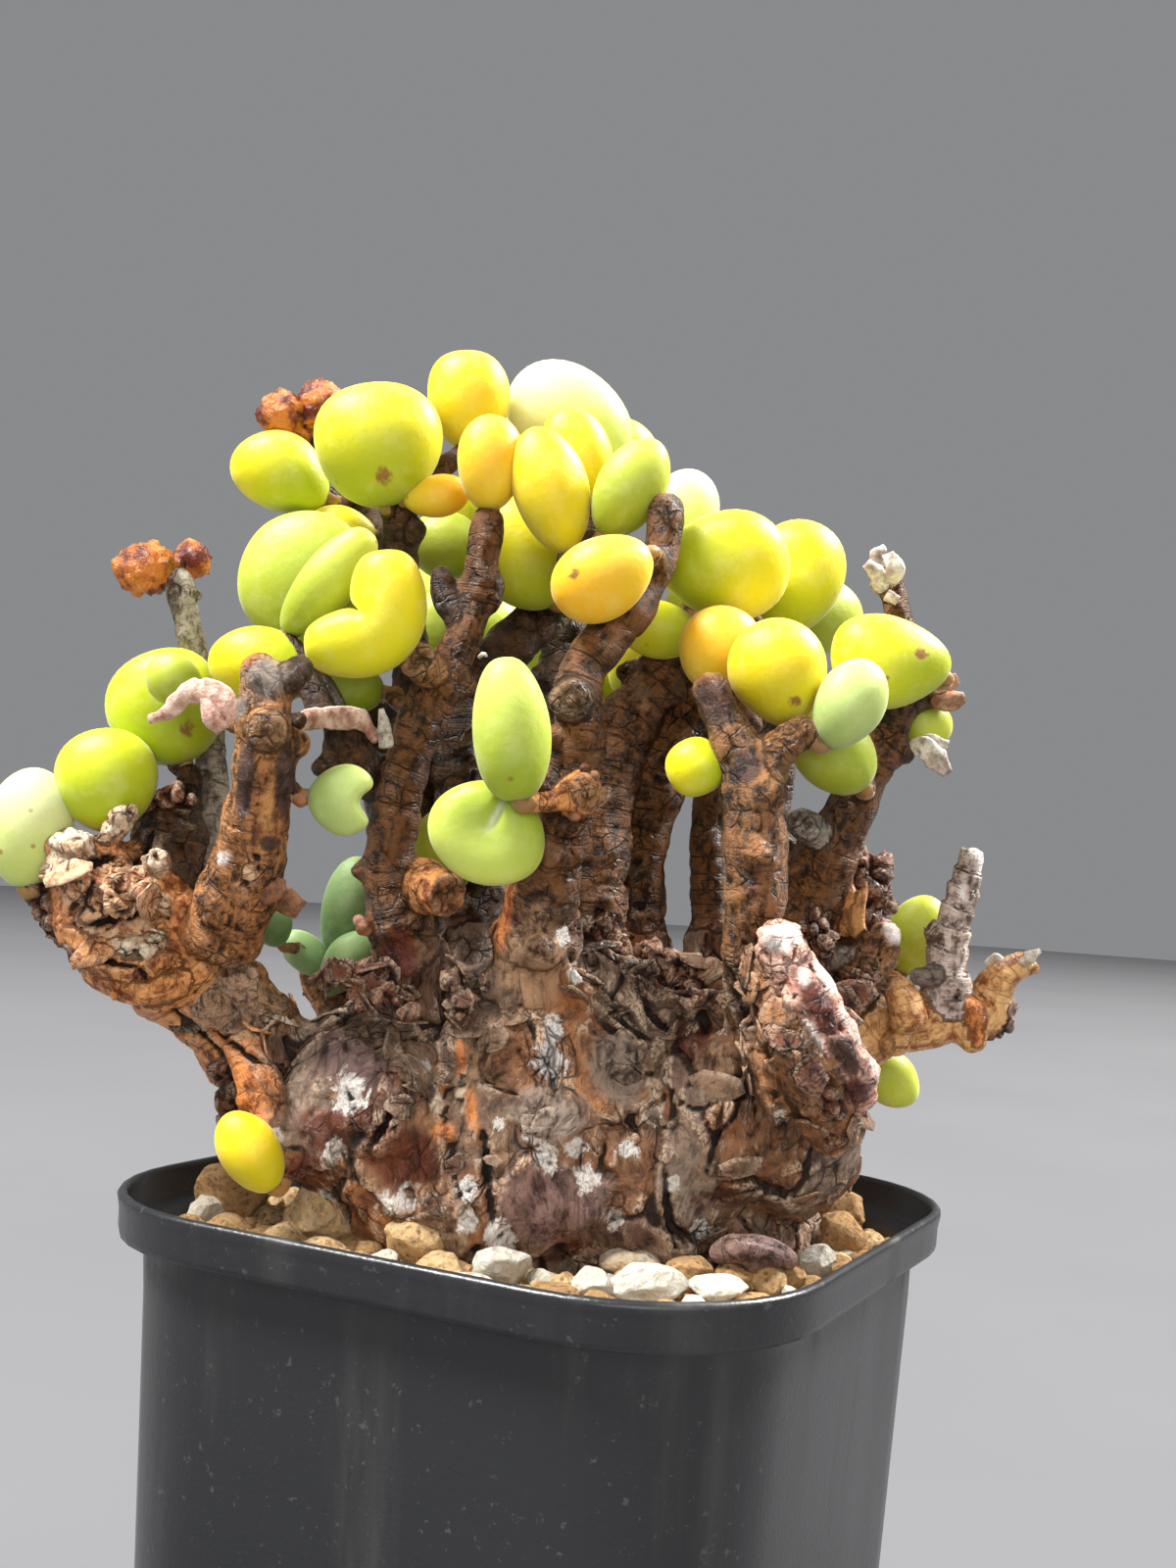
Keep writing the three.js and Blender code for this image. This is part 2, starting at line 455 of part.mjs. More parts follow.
// The turn from a leaf's own axes, length up and face to the eye, to the way it stands.
const leafTurn = ({ lean = 0, nod = 0 }) =>
  new THREE.Matrix4().makeBasis(ACROSS, UPWARD, TO_EYE).multiply(fanTurn(lean, nod));

// The plump body, fattened by grow and wrinkled where it has withered.
function leafBody(leaf, grow, wrinkle = 0) {
  const [length, width, thickness] = leaf.size.map((size) => (size * scaleAt(leaf.at[2])) / 2);
  const { bend = 0, notch = 0, cup = 0 } = leaf;
  const large = leaf.size[0] > 10.6;
  const body = large ? new THREE.SphereGeometry(1, 8, 6) : new THREE.SphereGeometry(1, 6, 5);
  const points = body.getAttribute("position");
  const placing = leafTurn(leaf).setPosition(seen(leaf.at));
  for (let i = 0; i < points.count; i++) {
    const unit = new THREE.Vector3().fromBufferAttribute(points, i);
    const broad = 1 + 0.1 * unit.y - 0.06 * unit.y * unit.y;
    const rough = 1 + wrinkle * bump(unit.clone().multiplyScalar(7), leaf.size[0]);
    const dent = notch * Math.exp(-((unit.x / 0.4) ** 2)) * Math.max(0, unit.y) ** 2;
    const hollow = cup * Math.exp(-(unit.x ** 2 + unit.y ** 2) / 0.3) * Math.max(0, unit.z);
    const local = new THREE.Vector3(
      (unit.x * broad + bend * (0.35 - unit.y * unit.y)) * (width + grow),
      (unit.y - dent) * (length + grow),
      (unit.z - hollow) * (thickness + grow),
    ).multiplyScalar(rough);
    local.applyMatrix4(placing);
    points.setXYZ(i, local.x, local.y, local.z);
  }
  return toSolid(body);
}

function nearestWood(place) {
  const distance = (station) => station.place.distanceTo(place) - station.radius;
  return woodStations.reduce((best, station) => (distance(station) < distance(best) ? station : best));
}

function stalkBetween(start, end, radius, grow) {
  const stalk = new THREE.CylinderGeometry(0.8 * radius + grow, 1.3 * radius + grow, start.distanceTo(end), 4);
  const upright = new THREE.Vector3(0, 1, 0);
  stalk.applyQuaternion(new THREE.Quaternion().setFromUnitVectors(upright, start.clone().sub(end).normalize()));
  const half = start.clone().lerp(end, 0.5);
  stalk.translate(half.x, half.y, half.z);
  return toSolid(stalk);
}

// The short stalk from inside the leaf's base to the heart of its tuft, or to the middle of the nearest wood.
function leafStalk(leaf, grow, heart) {
  const lengthAxis = new THREE.Vector3(0, 1, 0).transformDirection(leafTurn(leaf));
  const halfLength = (leaf.size[0] * scaleAt(leaf.at[2])) / 2;
  const middle = seen(leaf.at);
  const base = middle.clone().addScaledVector(lengthAxis, -halfLength);
  const start = middle.clone().lerp(base, 0.5);
  return stalkBetween(start, heart ?? nearestWood(base).place, Math.min(1.2, 0.14 * leaf.size[0]), grow);
}

const leafSolid = (leaf, grow, wrinkle) => leafBody(leaf, grow, wrinkle).add(leafStalk(leaf, grow));

function tuftSolid({ heart, leaves }, grow) {
  const middle = seen(heart);
  const knot = new THREE.IcosahedronGeometry(1.9 + grow, 0);
  knot.translate(middle.x, middle.y, middle.z);
  const apart = (leaf) => seen(leaf.at).distanceTo(middle) > 0.65 * leaf.size[0] * scaleAt(leaf.at[2]);
  const blades = leaves.flatMap((leaf) =>
    apart(leaf) ? [leafBody(leaf, grow), leafStalk(leaf, grow, middle)] : [leafBody(leaf, grow)],
  );
  return joined([toSolid(knot), stalkBetween(middle, nearestWood(middle).place, 1.1, grow), ...blades]);
}

// The stones: single ones that lie loose on top, and others that are part of the filling. Each lies where the
// line of sight at across and up meets the soil, and its radii are its width, height and depth.
const LOOSE_STONES = [
  { name: "stone_brown_left", across: -36.2, up: -42, radii: [3.3, 3.3, 3], colour: 0x7d6440 },
  { name: "stone_tan_left", across: -27.2, up: -43.8, radii: [3, 2.9, 2.8], colour: 0xbd9155 },
];

const SET_STONES = [
  { across: -40.5, up: -43.4, radii: [2.2, 1.4, 2] },
  { across: -16.8, up: -46.2, radii: [3.4, 2.6, 2.6] },
  { across: -9, up: -49.2, radii: [2.6, 1.5, 1.8] },
  { across: 0, up: -50.6, radii: [2.6, 1.7, 2] },
  { across: 5.6, up: -50.2, radii: [3, 1.9, 2.2] },
  { across: 9.4, up: -47.6, radii: [2.8, 1.3, 2] },
  { across: 11, up: -50, radii: [2, 1.7, 2] },
  { across: 15, up: -50.4, radii: [2.4, 1.8, 2] },
  { across: 17.6, up: -48.4, radii: [3.6, 1.8, 2.2] },
  { across: 23, up: -48.6, radii: [2.8, 1.8, 2.2] },
  { across: 25.4, up: -46.2, radii: [3, 2.4, 2.6] },
  { across: 28.6, up: -43.6, radii: [4.2, 2.8, 3] },
  { across: 32, up: -44, radii: [2.8, 2.4, 2.6] },
];

const SCATTERED_STONES = 14;
const SCATTER_REACH = 28;

function stoneSolid({ across, up, radii }, grow) {
  const middle = seenAtHeight(across, up, SOIL_TOP + 0.6 * radii[1]);
  return stoneAt(middle, radii, grow, radii[0] + across);
}

function stoneAt(middle, [wide, high, deep], grow, seed) {
  const stone = new THREE.IcosahedronGeometry(1, 0);
  const points = stone.getAttribute("position");
  for (let i = 0; i < points.count; i++) {
    const unit = new THREE.Vector3().fromBufferAttribute(points, i);
    const reach = 1 + 0.16 * bump(unit.clone().multiplyScalar(3), seed);
    const local = new THREE.Vector3(unit.x * wide, unit.y * high, unit.z * deep).multiplyScalar(reach);
    local.addScaledVector(unit, grow);
    const placed = middle.clone().addScaledVector(ACROSS, local.x).addScaledVector(UPWARD, local.y);
    placed.addScaledVector(TO_EYE, local.z);
    points.setXYZ(i, placed.x, placed.y, placed.z);
  }
  return toSolid(stone);
}

function scatteredStones() {
  const random = randomRun(41);
  return Array.from({ length: SCATTERED_STONES }, (_, count) => {
    const spread = (2 * Math.PI * (count + 0.6 * random())) / SCATTERED_STONES;
    const reach = SCATTER_REACH * (0.84 + 0.18 * random());
    const edge = Math.min(1.22, 1 / Math.max(Math.abs(Math.cos(spread)), Math.abs(Math.sin(spread))));
    const middle = new THREE.Vector3(Math.cos(spread), Math.sin(spread), 0).multiplyScalar(reach * edge);
    const radius = 1.7 + 1.5 * random();
    middle.z = SOIL_TOP + 0.2 * radius;
    return stoneAt(middle, [radius * 1.2, radius * 0.85, radius], 0, count);
  });
}

function makeFilling(room, tools) {
  const half = collarHalf + 1;
  const bottom = new THREE.Vector3(0, 0, 0);
  const top = new THREE.Vector3(0, 0, SOIL_TOP + 0.6);
  const block = toSolid(skin([potRing(half, 0), potRing(half, SOIL_TOP)], bottom, top));
  const stones = [...SET_STONES.map((stone) => stoneSolid(stone, 0)), ...scatteredStones()];
  return cutAway(joined([block, ...stones]).intersect(room), tools);
}

// The whole

const group = new THREE.Group();

function addPiece(name, solid, colour, roughness) {
  const material = new THREE.MeshStandardMaterial({ color: colour, roughness, metalness: 0 });
  const mesh = new THREE.Mesh(toGeometry(solid), material);
  mesh.name = name;
  group.add(mesh);
}

const room = potRoom();
const wood = joined(woodSolid(0));
const woodParts = woodSolid(GAP);
addPiece("pot", makePot(), 0x2b2d30, 0.45);
addPiece("caudex_and_stems", wood, 0x6b4a33, 0.85);

// Leaves nearest the eye keep their whole form, and those behind are pressed flat where they meet them.
const taken = [...woodParts];
const fromFront = LEAVES.map((leaf, count) => ({ leaf, count })).sort((a, b) => a.leaf.at[2] - b.leaf.at[2]);
for (const { leaf, count } of fromFront) {
  const name = `leaf_${String(count + 1).padStart(2, "0")}`;
  addPiece(name, cutAway(leafSolid(leaf, 0), taken), LEAF_COLOURS[leaf.colour], 0.4);
  taken.push(leafSolid(leaf, GAP));
}
for (const tuft of TUFTS) {
  addPiece(tuft.name, cutAway(tuftSolid(tuft, 0), taken), LEAF_COLOURS[tuft.colour], 0.4);
  taken.push(tuftSolid(tuft, GAP));
}
for (const { name, parts } of WITHERED) {
  const solid = joined(parts.map((part) => leafSolid(part, 0, 0.16)));
  addPiece(name, cutAway(solid, taken), 0x9a5426, 0.6);
  taken.push(...parts.map((part) => leafSolid(part, GAP, 0.16)));
}
for (const stone of LOOSE_STONES) {
  addPiece(stone.name, cutAway(stoneSolid(stone, 0).intersect(room), taken), stone.colour, 0.95);
  taken.push(stoneSolid(stone, GAP));
}
addPiece("gravel_filling", makeFilling(room, taken), 0x8d7350, 0.95);

export default group;
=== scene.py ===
# Looks of the dwarf caudex succulent in its square nursery pot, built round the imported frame.
import math

import bmesh
import bpy
import numpy as np
from mathutils import Matrix


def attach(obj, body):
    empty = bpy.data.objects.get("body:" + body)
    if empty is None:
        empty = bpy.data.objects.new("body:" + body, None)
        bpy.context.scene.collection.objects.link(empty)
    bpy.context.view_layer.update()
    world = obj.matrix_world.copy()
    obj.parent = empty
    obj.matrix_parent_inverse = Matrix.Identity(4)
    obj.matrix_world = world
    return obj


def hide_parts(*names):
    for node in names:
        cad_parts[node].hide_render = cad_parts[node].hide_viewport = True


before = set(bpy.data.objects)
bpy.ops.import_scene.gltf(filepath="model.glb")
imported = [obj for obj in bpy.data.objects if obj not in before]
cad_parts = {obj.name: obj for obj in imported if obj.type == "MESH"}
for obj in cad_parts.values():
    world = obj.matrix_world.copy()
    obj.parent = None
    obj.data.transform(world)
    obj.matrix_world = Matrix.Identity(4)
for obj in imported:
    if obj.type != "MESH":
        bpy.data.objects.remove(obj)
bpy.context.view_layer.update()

# Sizes are millimetres until a mesh is made.
MM = 0.001

# The pot.
POT_WIDTH = 70.0
POT_HEIGHT = 78.0
POT_CORNER = 18.0
POT_WALL = 1.0
POT_TAPER = 0.048
COLLAR_HEIGHT = 4.2
COLLAR_STEP = 2.7
POT_FLOOR = 1.6
DRAIN_RADIUS = 3.0
DRAIN_OFFSET = 15.0
SOIL_TOP = POT_HEIGHT - 4.4
SOIL_CORNER = 14.5
BED_TOP = SOIL_TOP - 1.4
BED_SHOULDER = 70.0
MOULD_LINE = 12.0
COLLAR_HALF = POT_WIDTH / 2
COLLAR_FOOT = POT_HEIGHT - COLLAR_HEIGHT

# How finely the wood is made: the voxel of its skin, and the steps along a limb at which its tube is laid
# and its bark looks for it.
VOXEL = 0.42
TUBE_STEP = 0.8
STATION_STEP = 1.2

# The size of the bark's plates on the stems and on the base, of the base's small plates and of the crumbs.
STEM_PLATE = 2.7
BASE_PLATE = 6.6
SMALL_PLATE = 2.7
CRUMB = 1.7

# Most bark flakes lie about where the stems leave the base.
CROTCH_HEIGHT = 98
CROTCH_REACH = 6

# How far in depth a patch reaches fully and at all, and how far one limb's bark is shifted from the next's.
PATCH_DEPTH = (6, 8)
LIMB_SHIFT = 31.7

# The plant is laid out as it looks from its best side: across and up on the upright plane through the pot's
# middle, from SIGHT_POINT, and back behind that plane along the line of sight.
SIGHT_POINT = np.array([1.2, 0.6, 119.2])
EYE_DISTANCE = 170.0
EYE_TURN = math.radians(27.24)
EYE_RISE = math.radians(-2.62)
EYE_ROLL = math.radians(3.65)
FRAME_LONG_SIDE = 1600
FOCAL_PIXELS = 1700
SENSOR_MM = 36.0

TO_EYE = np.array([
    math.sin(EYE_TURN) * math.cos(EYE_RISE),
    -math.cos(EYE_TURN) * math.cos(EYE_RISE),
    math.sin(EYE_RISE),
])
LEVEL = np.array([math.cos(EYE_TURN), math.sin(EYE_TURN), 0.0])
ACROSS = LEVEL * math.cos(EYE_ROLL) + np.cross(TO_EYE, LEVEL) * math.sin(EYE_ROLL)
UPWARD = np.cross(TO_EYE, ACROSS)
EYE = SIGHT_POINT + EYE_DISTANCE * TO_EYE
STANDING = np.column_stack([ACROSS, UPWARD, TO_EYE])


def scale_at(back):
    return 1 + back / EYE_DISTANCE


def seen(spot):
    across, up, back = spot
    on_plane = SIGHT_POINT + across * ACROSS + up * UPWARD
    return EYE + scale_at(back) * (on_plane - EYE)


def seen_at_height(across, up, z):
    line = seen((across, up, 0)) - EYE
    return EYE + line * (z - EYE[2]) / line[2]


def unseen(points):
    """The across, up and back of each point."""
    scale = (EYE - points) @ TO_EYE / EYE_DISTANCE
    on_plane = EYE + (points - EYE) / scale[:, None] - SIGHT_POINT
    return np.stack([on_plane @ ACROSS, on_plane @ UPWARD, (scale - 1) * EYE_DISTANCE], axis=1)


# Noise

def hashed(cells, seed):
    """Random numbers from 0 to 1 for whole-number triples."""
    mixed = cells[..., 0] * 73856093 ^ cells[..., 1] * 19349663 ^ cells[..., 2] * 83492791
    mixed = (mixed ^ (seed * 2654435761)) & 0xFFFFFFFF
    mixed = (mixed ^ (mixed >> 15)) * 2246822519 & 0xFFFFFFFF
    mixed = (mixed ^ (mixed >> 13)) * 3266489917 & 0xFFFFFFFF
    return (mixed ^ (mixed >> 16)) / 4294967295.0


def smooth_noise(points, size, seed):
    """Smooth noise from -1 to 1 whose bumps are about size apart."""
    spot = points / size
    low = np.floor(spot).astype(np.int64)
    part = spot - low
    part = part * part * (3 - 2 * part)
    total = np.zeros(len(points))
    for corner in np.ndindex(2, 2, 2):
        weight = np.prod(np.where(corner, part, 1 - part), axis=1)
        total += weight * hashed(low + np.array(corner), seed)
    return 2 * total - 1


def rough_noise(points, size, seed, octaves=3):
    total = sum(smooth_noise(points, size / 2 ** k, seed + k) / 2 ** k for k in range(octaves))
    return total / (2 - 0.5 ** (octaves - 1))


def plates(points, size, seed):
    """Cells of about size: distance to the nearest edge, a random number and a slant for each cell."""
    spot = points / size
    low = np.floor(spot).astype(np.int64)
    nearest = np.full(len(points), 9.0)
    second = np.full(len(points), 9.0)
    tone = np.zeros(len(points))
    slant = np.zeros(len(points))
    for step in np.ndindex(3, 3, 3):
        cell = low + np.array(step) - 1
        jitter = np.stack([hashed(cell, seed + k) for k in (11, 12, 13)], axis=1)
        away = spot - cell - jitter
        distance = np.linalg.norm(away, axis=1)
        closer = distance < nearest
        second = np.where(closer, nearest, np.minimum(second, distance))
        tone = np.where(closer, hashed(cell, seed + 14), tone)
        tilt = np.stack([hashed(cell, seed + k) - 0.5 for k in (15, 16, 17)], axis=1)
        slant = np.where(closer, np.sum(away * tilt, axis=1), slant)
        nearest = np.where(closer, distance, nearest)
    return second - nearest, tone, slant


def ramp(value, low, high):
    part = np.clip((value - low) / (high - low), 0, 1)
    return part * part * (3 - 2 * part)


def unit(vectors):
    return vectors / np.linalg.norm(vectors, axis=-1, keepdims=True)


def bell(value, width):
    return np.exp(-(value / width) ** 2)


def rotation(angle, axis):
    """The turn by angle about the first or the third axis."""
    cos, sin = math.cos(angle), math.sin(angle)
    if axis == "x":
        return np.array([[1, 0, 0], [0, cos, -sin], [0, sin, cos]])
    return np.array([[cos, -sin, 0], [sin, cos, 0], [0, 0, 1]])


# Meshes

def unit_ball(detail):
    mesh = bmesh.new()
    bmesh.ops.create_icosphere(mesh, subdivisions=detail, radius=1)
    points = np.array([vertex.co for vertex in mesh.verts])
    faces = np.array([[vertex.index for vertex in face.verts] for face in mesh.faces])
    mesh.free()
    return points, faces


BALLS = {detail: unit_ball(detail) for detail in (2, 3, 4, 5)}


def tube(path, radii, sides):
    """A closed tube along path, with its faces."""
    along = unit(np.gradient(path, axis=0))
    reference = UPWARD if abs(unit(path[-1] - path[0]) @ TO_EYE) > 0.8 else TO_EYE
    side = unit(np.cross(along, reference))
    forward = np.cross(side, along)
    angles = 2 * math.pi * np.arange(sides) / sides
    reach = np.asarray(radii)[:, None, None]
    cos, sin = np.cos(angles)[None, :, None], np.sin(angles)[None, :, None]
    rings = path[:, None] + reach * (side[:, None] * cos - forward[:, None] * sin)
    start = path[0] - 0.4 * radii[0] * along[0]
    end = path[-1] + 0.4 * radii[-1] * along[-1]
    return skin(rings, start, end)


def skin(rings, start, end):
    """A closed skin through rings that run the same way round, with a middle point at each end."""
    count, sides = rings.shape[:2]
    points = np.vstack([rings.reshape(-1, 3), start, end])
    grid = np.arange(count * sides).reshape(count, sides)
    turned = np.roll(grid, -1, axis=1)
    quads = np.stack([grid[:-1], turned[:-1], turned[1:], grid[1:]], axis=-1).reshape(-1, 4)
    first, last = count * sides, count * sides + 1
    caps = [(first, b, a) for a, b in zip(grid[0], turned[0])]
    caps += [(a, b, last) for a, b in zip(grid[-1], turned[-1])]
    return points, [tuple(quad) for quad in quads.tolist()] + [tuple(map(int, cap)) for cap in caps]


def merged(parts):
    """Several (points, faces, values) as one, where values maps a name to a number for each point."""
    points, faces, values = [], [], {}
    offset = 0
    for part_points, part_faces, part_values in parts:
        points.append(part_points)
        faces += [tuple(int(i) + offset for i in face) for face in part_faces]
        for name, numbers in part_values.items():
            whole = numbers if np.ndim(numbers) == 2 else np.broadcast_to(numbers, len(part_points))
            values.setdefault(name, []).append(whole)
        offset += len(part_points)
    return np.vstack(points), faces, {name: np.concatenate(numbers) for name, numbers in values.items()}


def show(name, data):
    """A new object in the scene."""
    body = bpy.data.objects.new(name, data)
    bpy.context.scene.collection.objects.link(body)
    return body


def add_piece(name, part, material, slot, *stands_for):
    """A piece of the plant or pot, in place, with its values as attributes for its material."""
    points, faces, values = part
    mesh = bpy.data.meshes.new(name)
    mesh.from_pydata((points * MM).tolist(), [], faces)
    mesh.polygons.foreach_set("use_smooth", [True] * len(mesh.polygons))
    for key, numbers in values.items():
        if np.ndim(numbers) == 2:
            attribute = mesh.attributes.new(key, "FLOAT_VECTOR", "POINT")
            attribute.data.foreach_set("vector", np.asarray(numbers, np.float32).ravel())
        else:
            attribute = mesh.attributes.new(key, "FLOAT", "POINT")
            attribute.data.foreach_set("value", np.broadcast_to(numbers, len(points)).astype(np.float32))
    mesh.materials.append(material)
    piece = show(name, mesh)
    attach(piece, "root")
    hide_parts(*stands_for)
    return piece


def voxel_union(points, faces, voxel):
    """The outer skin of overlapping closed bodies: points, faces and normals."""
    mesh = bpy.data.meshes.new("union")
    mesh.from_pydata((points * MM).tolist(), [], faces)
    body = show("union", mesh)
    remesh = body.modifiers.new("remesh", "REMESH")
    remesh.mode = "VOXEL"
    remesh.voxel_size = voxel * MM
    smooth = body.modifiers.new("smooth", "SMOOTH")
    smooth.factor = 0.5
    smooth.iterations = 9
    result = bpy.data.meshes.new_from_object(body.evaluated_get(bpy.context.evaluated_depsgraph_get()))
    count = len(result.vertices)
    found = np.empty(count * 3)
    result.vertices.foreach_get("co", found)
    normals = np.empty(count * 3)
    result.vertex_normals.foreach_get("vector", normals)
    skins = [tuple(polygon.vertices) for polygon in result.polygons]
    bpy.data.objects.remove(body)
    bpy.data.meshes.remove(mesh)
    bpy.data.meshes.remove(result)
    return found.reshape(-1, 3) / MM, skins, normals.reshape(-1, 3)


# The wood. A lump is an ellipsoid, its middle as (across, up, back) and its radii. The last one is the blunt
# head of the left arm. A limb is a list of [across, up, back, radius] from its root to its tip, and its tint
# is how it is coloured.

LUMPS = [
    ((-3.5, -37, 2), (25, 15, 20)),
    ((-21.5, -33, -4), (10.5, 11, 12)),
    ((13, -31, -4), (11, 13, 14)),
    ((-2, -26, 0), (16, 10, 15)),
    ((20, -36, -4), (8, 8, 10)),
    ((-2, -45, 3), (25, 10, 18)),
    ((1, -31, 15), (20, 12, 11)),
    ((-48.6, -12.8, -9), (6.4, 6, 5.4)),
]

BASE_LIMBS = [
    ("plain", [[-2, -46, 3, 13], [-1, -60, 4, 8], [0, -76, 4, 3.5]]),
    ("orange", [[-26, -34, -2, 7], [-33, -27.6, -4, 6.2], [-40, -20, -6, 6.1], [-45.6, -13.8, -8, 6],
                [-49.2, -9.8, -9, 5.2], [-52.2, -7.4, -9, 3.8]]),
    ("dark", [[-44, -11, -5, 4.6], [-42, -4.5, -4, 3.9], [-41.3, -2.6, -4, 3]]),
    ("tan", [[18, -33, -7, 7], [25, -34.5, -10, 4.4], [27.8, -35.6, -10, 2.4]]),
    ("shaggy", [[16, -30, -8, 6], [22, -26, -18, 4.5], [24.5, -25, -22, 3.2]]),
    ("pink", [[18.6, -14.8, -22.5, 2], [20.2, -17, -24, 2.8], [22.4, -20.8, -24.6, 3],
              [24.4, -24.8, -24.6, 3], [26.3, -28.4, -23.8, 2.9], [27.5, -31.3, -21.8, 2.6],
              [27.9, -33.2, -21.6, 1.8]]),
    ("shaggy", [[17.6, -17.4, -19, 2.4], [19.4, -21.4, -22.4, 3.1], [21.4, -25.4, -23.6, 3.6],
                [23.4, -29.6, -23, 3.9], [24.6, -33.6, -20.4, 3.4], [24.6, -36.4, -18, 2.4]]),
    ("shaggy", [[17.4, -24, -19.4, 2.2], [18.8, -29, -20.6, 2.8], [20.4, -33.6, -20, 2.6]]),
    ("crumbly", [[19.4, -23.4, -24.6, 1], [20.8, -26.6, -26, 1.3], [23.4, -30.4, -26, 1.4],
                 [25.4, -33.4, -24, 1.1]]),
    ("mauve", [[12.8, -47.8, -17, 1.1], [15.4, -47.4, -19, 1.5], [18.6, -47.9, -18.5, 1.5],
               [21.2, -48.8, -17, 1]]),
    ("plain", [[-24.4, -33, -11.5, 5], [-20.8, -33.4, -13, 5.2], [-17, -33, -13.5, 5]]),
    ("rust", [[-35.6, -26, -11, 2], [-33.8, -30, -12.5, 2.2], [-31.8, -34.2, -13.3, 2.2],
              [-30, -38.6, -13, 2]]),
    ("crumbly", [[-36.6, -28.6, -8.6, 2], [-35.8, -32.6, -9.6, 2.1], [-34, -36.6, -10, 1.9]]),
    ("cream", [[-46.4, -2.6, -10, 1.2], [-47.8, -4, -11, 1.6], [-49, -5.4, -11.5, 1.2]]),
    ("cream", [[-55, -7.4, -10, 1.3], [-53, -5.7, -11.5, 1.6], [-50.9, -6.9, -13, 1.3]]),
    ("flesh", [[-54.6, -9, -10.5, 1.3], [-52.2, -9.8, -13.6, 1.6], [-50.4, -12.2, -14.4, 1.4]]),
    ("flesh", [[-47.7, -8.8, -14, 1.3], [-48.2, -11.2, -15.2, 1.7], [-47.2, -13.4, -15, 1.5]]),
    ("cream", [[-46.3, -8.6, -14, 1.1], [-45.6, -11.2, -14.8, 1.5], [-46.2, -12.8, -14.6, 1.2]]),
    ("cream", [[-44.9, -6.8, -12.4, 1.3], [-43.3, -9, -12.6, 1.2]]),
    ("cream", [[-44.2, -11.4, -13.4, 1], [-43, -12.6, -13.2, 1]]),
    ("cream", [[-48, -16.8, -13.4, 1], [-45.6, -16.5, -14.2, 1.1], [-43.5, -15.8, -13.4, 1]]),
    ("orange", [[-52.8, -15, -10, 1.5], [-50.2, -17.4, -12.6, 1.6], [-46, -18.8, -13.4, 1.5],
                [-42.4, -17.8, -12, 1.2]]),
    ("orange", [[-50.6, -18.8, -10, 1.5], [-46.4, -21, -12.6, 1.7], [-41.6, -20.6, -12.4, 1.5]]),
    ("crumbly", [[-55.4, -10.6, -8.5, 1.5], [-55, -13.4, -9, 1.6], [-53, -16.2, -9.5, 1.4]]),
    ("crumbly", [[-44.6, -2, -6, 1.2], [-42.4, -1.2, -7, 1.4], [-40.2, -2, -6, 1.2]]),
    ("ochre", [[30.7, -19.4, -4.5, 0.9], [32.2, -22, -6, 1.9], [33, -25, -6.4, 2.5]]),
    ("ochre", [[30.6, -25.5, -4, 2], [32.4, -27, -4, 1.6]]),
    ("crumbly", [[-27, -20.4, -7, 0.9], [-25, -19.2, -9.5, 1.4], [-22.8, -20.4, -11, 1.3],
                 [-21.4, -23, -13, 0.9]]),
    ("crumbly", [[-21.6, -19.4, -11, 1], [-20.6, -22.4, -13.4, 1.3], [-17.4, -23.6, -14.6, 1]]),
    ("crumbly", [[-14.4, -19, -11, 1], [-13.2, -22, -13.6, 1.3], [-12.4, -25, -15, 1]]),
    ("crumbly", [[-3, -18.4, -11, 1], [-1, -20, -12.8, 1.4], [2, -20.6, -13, 1.1]]),
    ("crumbly", [[0.6, -16.6, -8, 1], [3.2, -18.6, -10, 1.4], [6.2, -19.2, -11, 1.1]]),
    ("crumbly", [[5, -16.6, -6, 1], [7.6, -18, -8, 1.3], [10.4, -18.6, -9, 1.2], [12.8, -19.2, -10, 1]]),
    ("crumbly", [[8.2, -21.4, -13, 1], [11, -22.2, -14.4, 1.3], [13.8, -21.4, -15, 1]]),
    ("crumbly", [[29.4, -19.6, -6, 1.2], [27.4, -20.6, -8, 1.5], [26, -22.6, -9, 1.2]]),
    ("crumbly", [[22.6, -12.2, -6, 1], [23.4, -15.4, -7, 1.4], [25.4, -17.6, -7, 1]]),
]

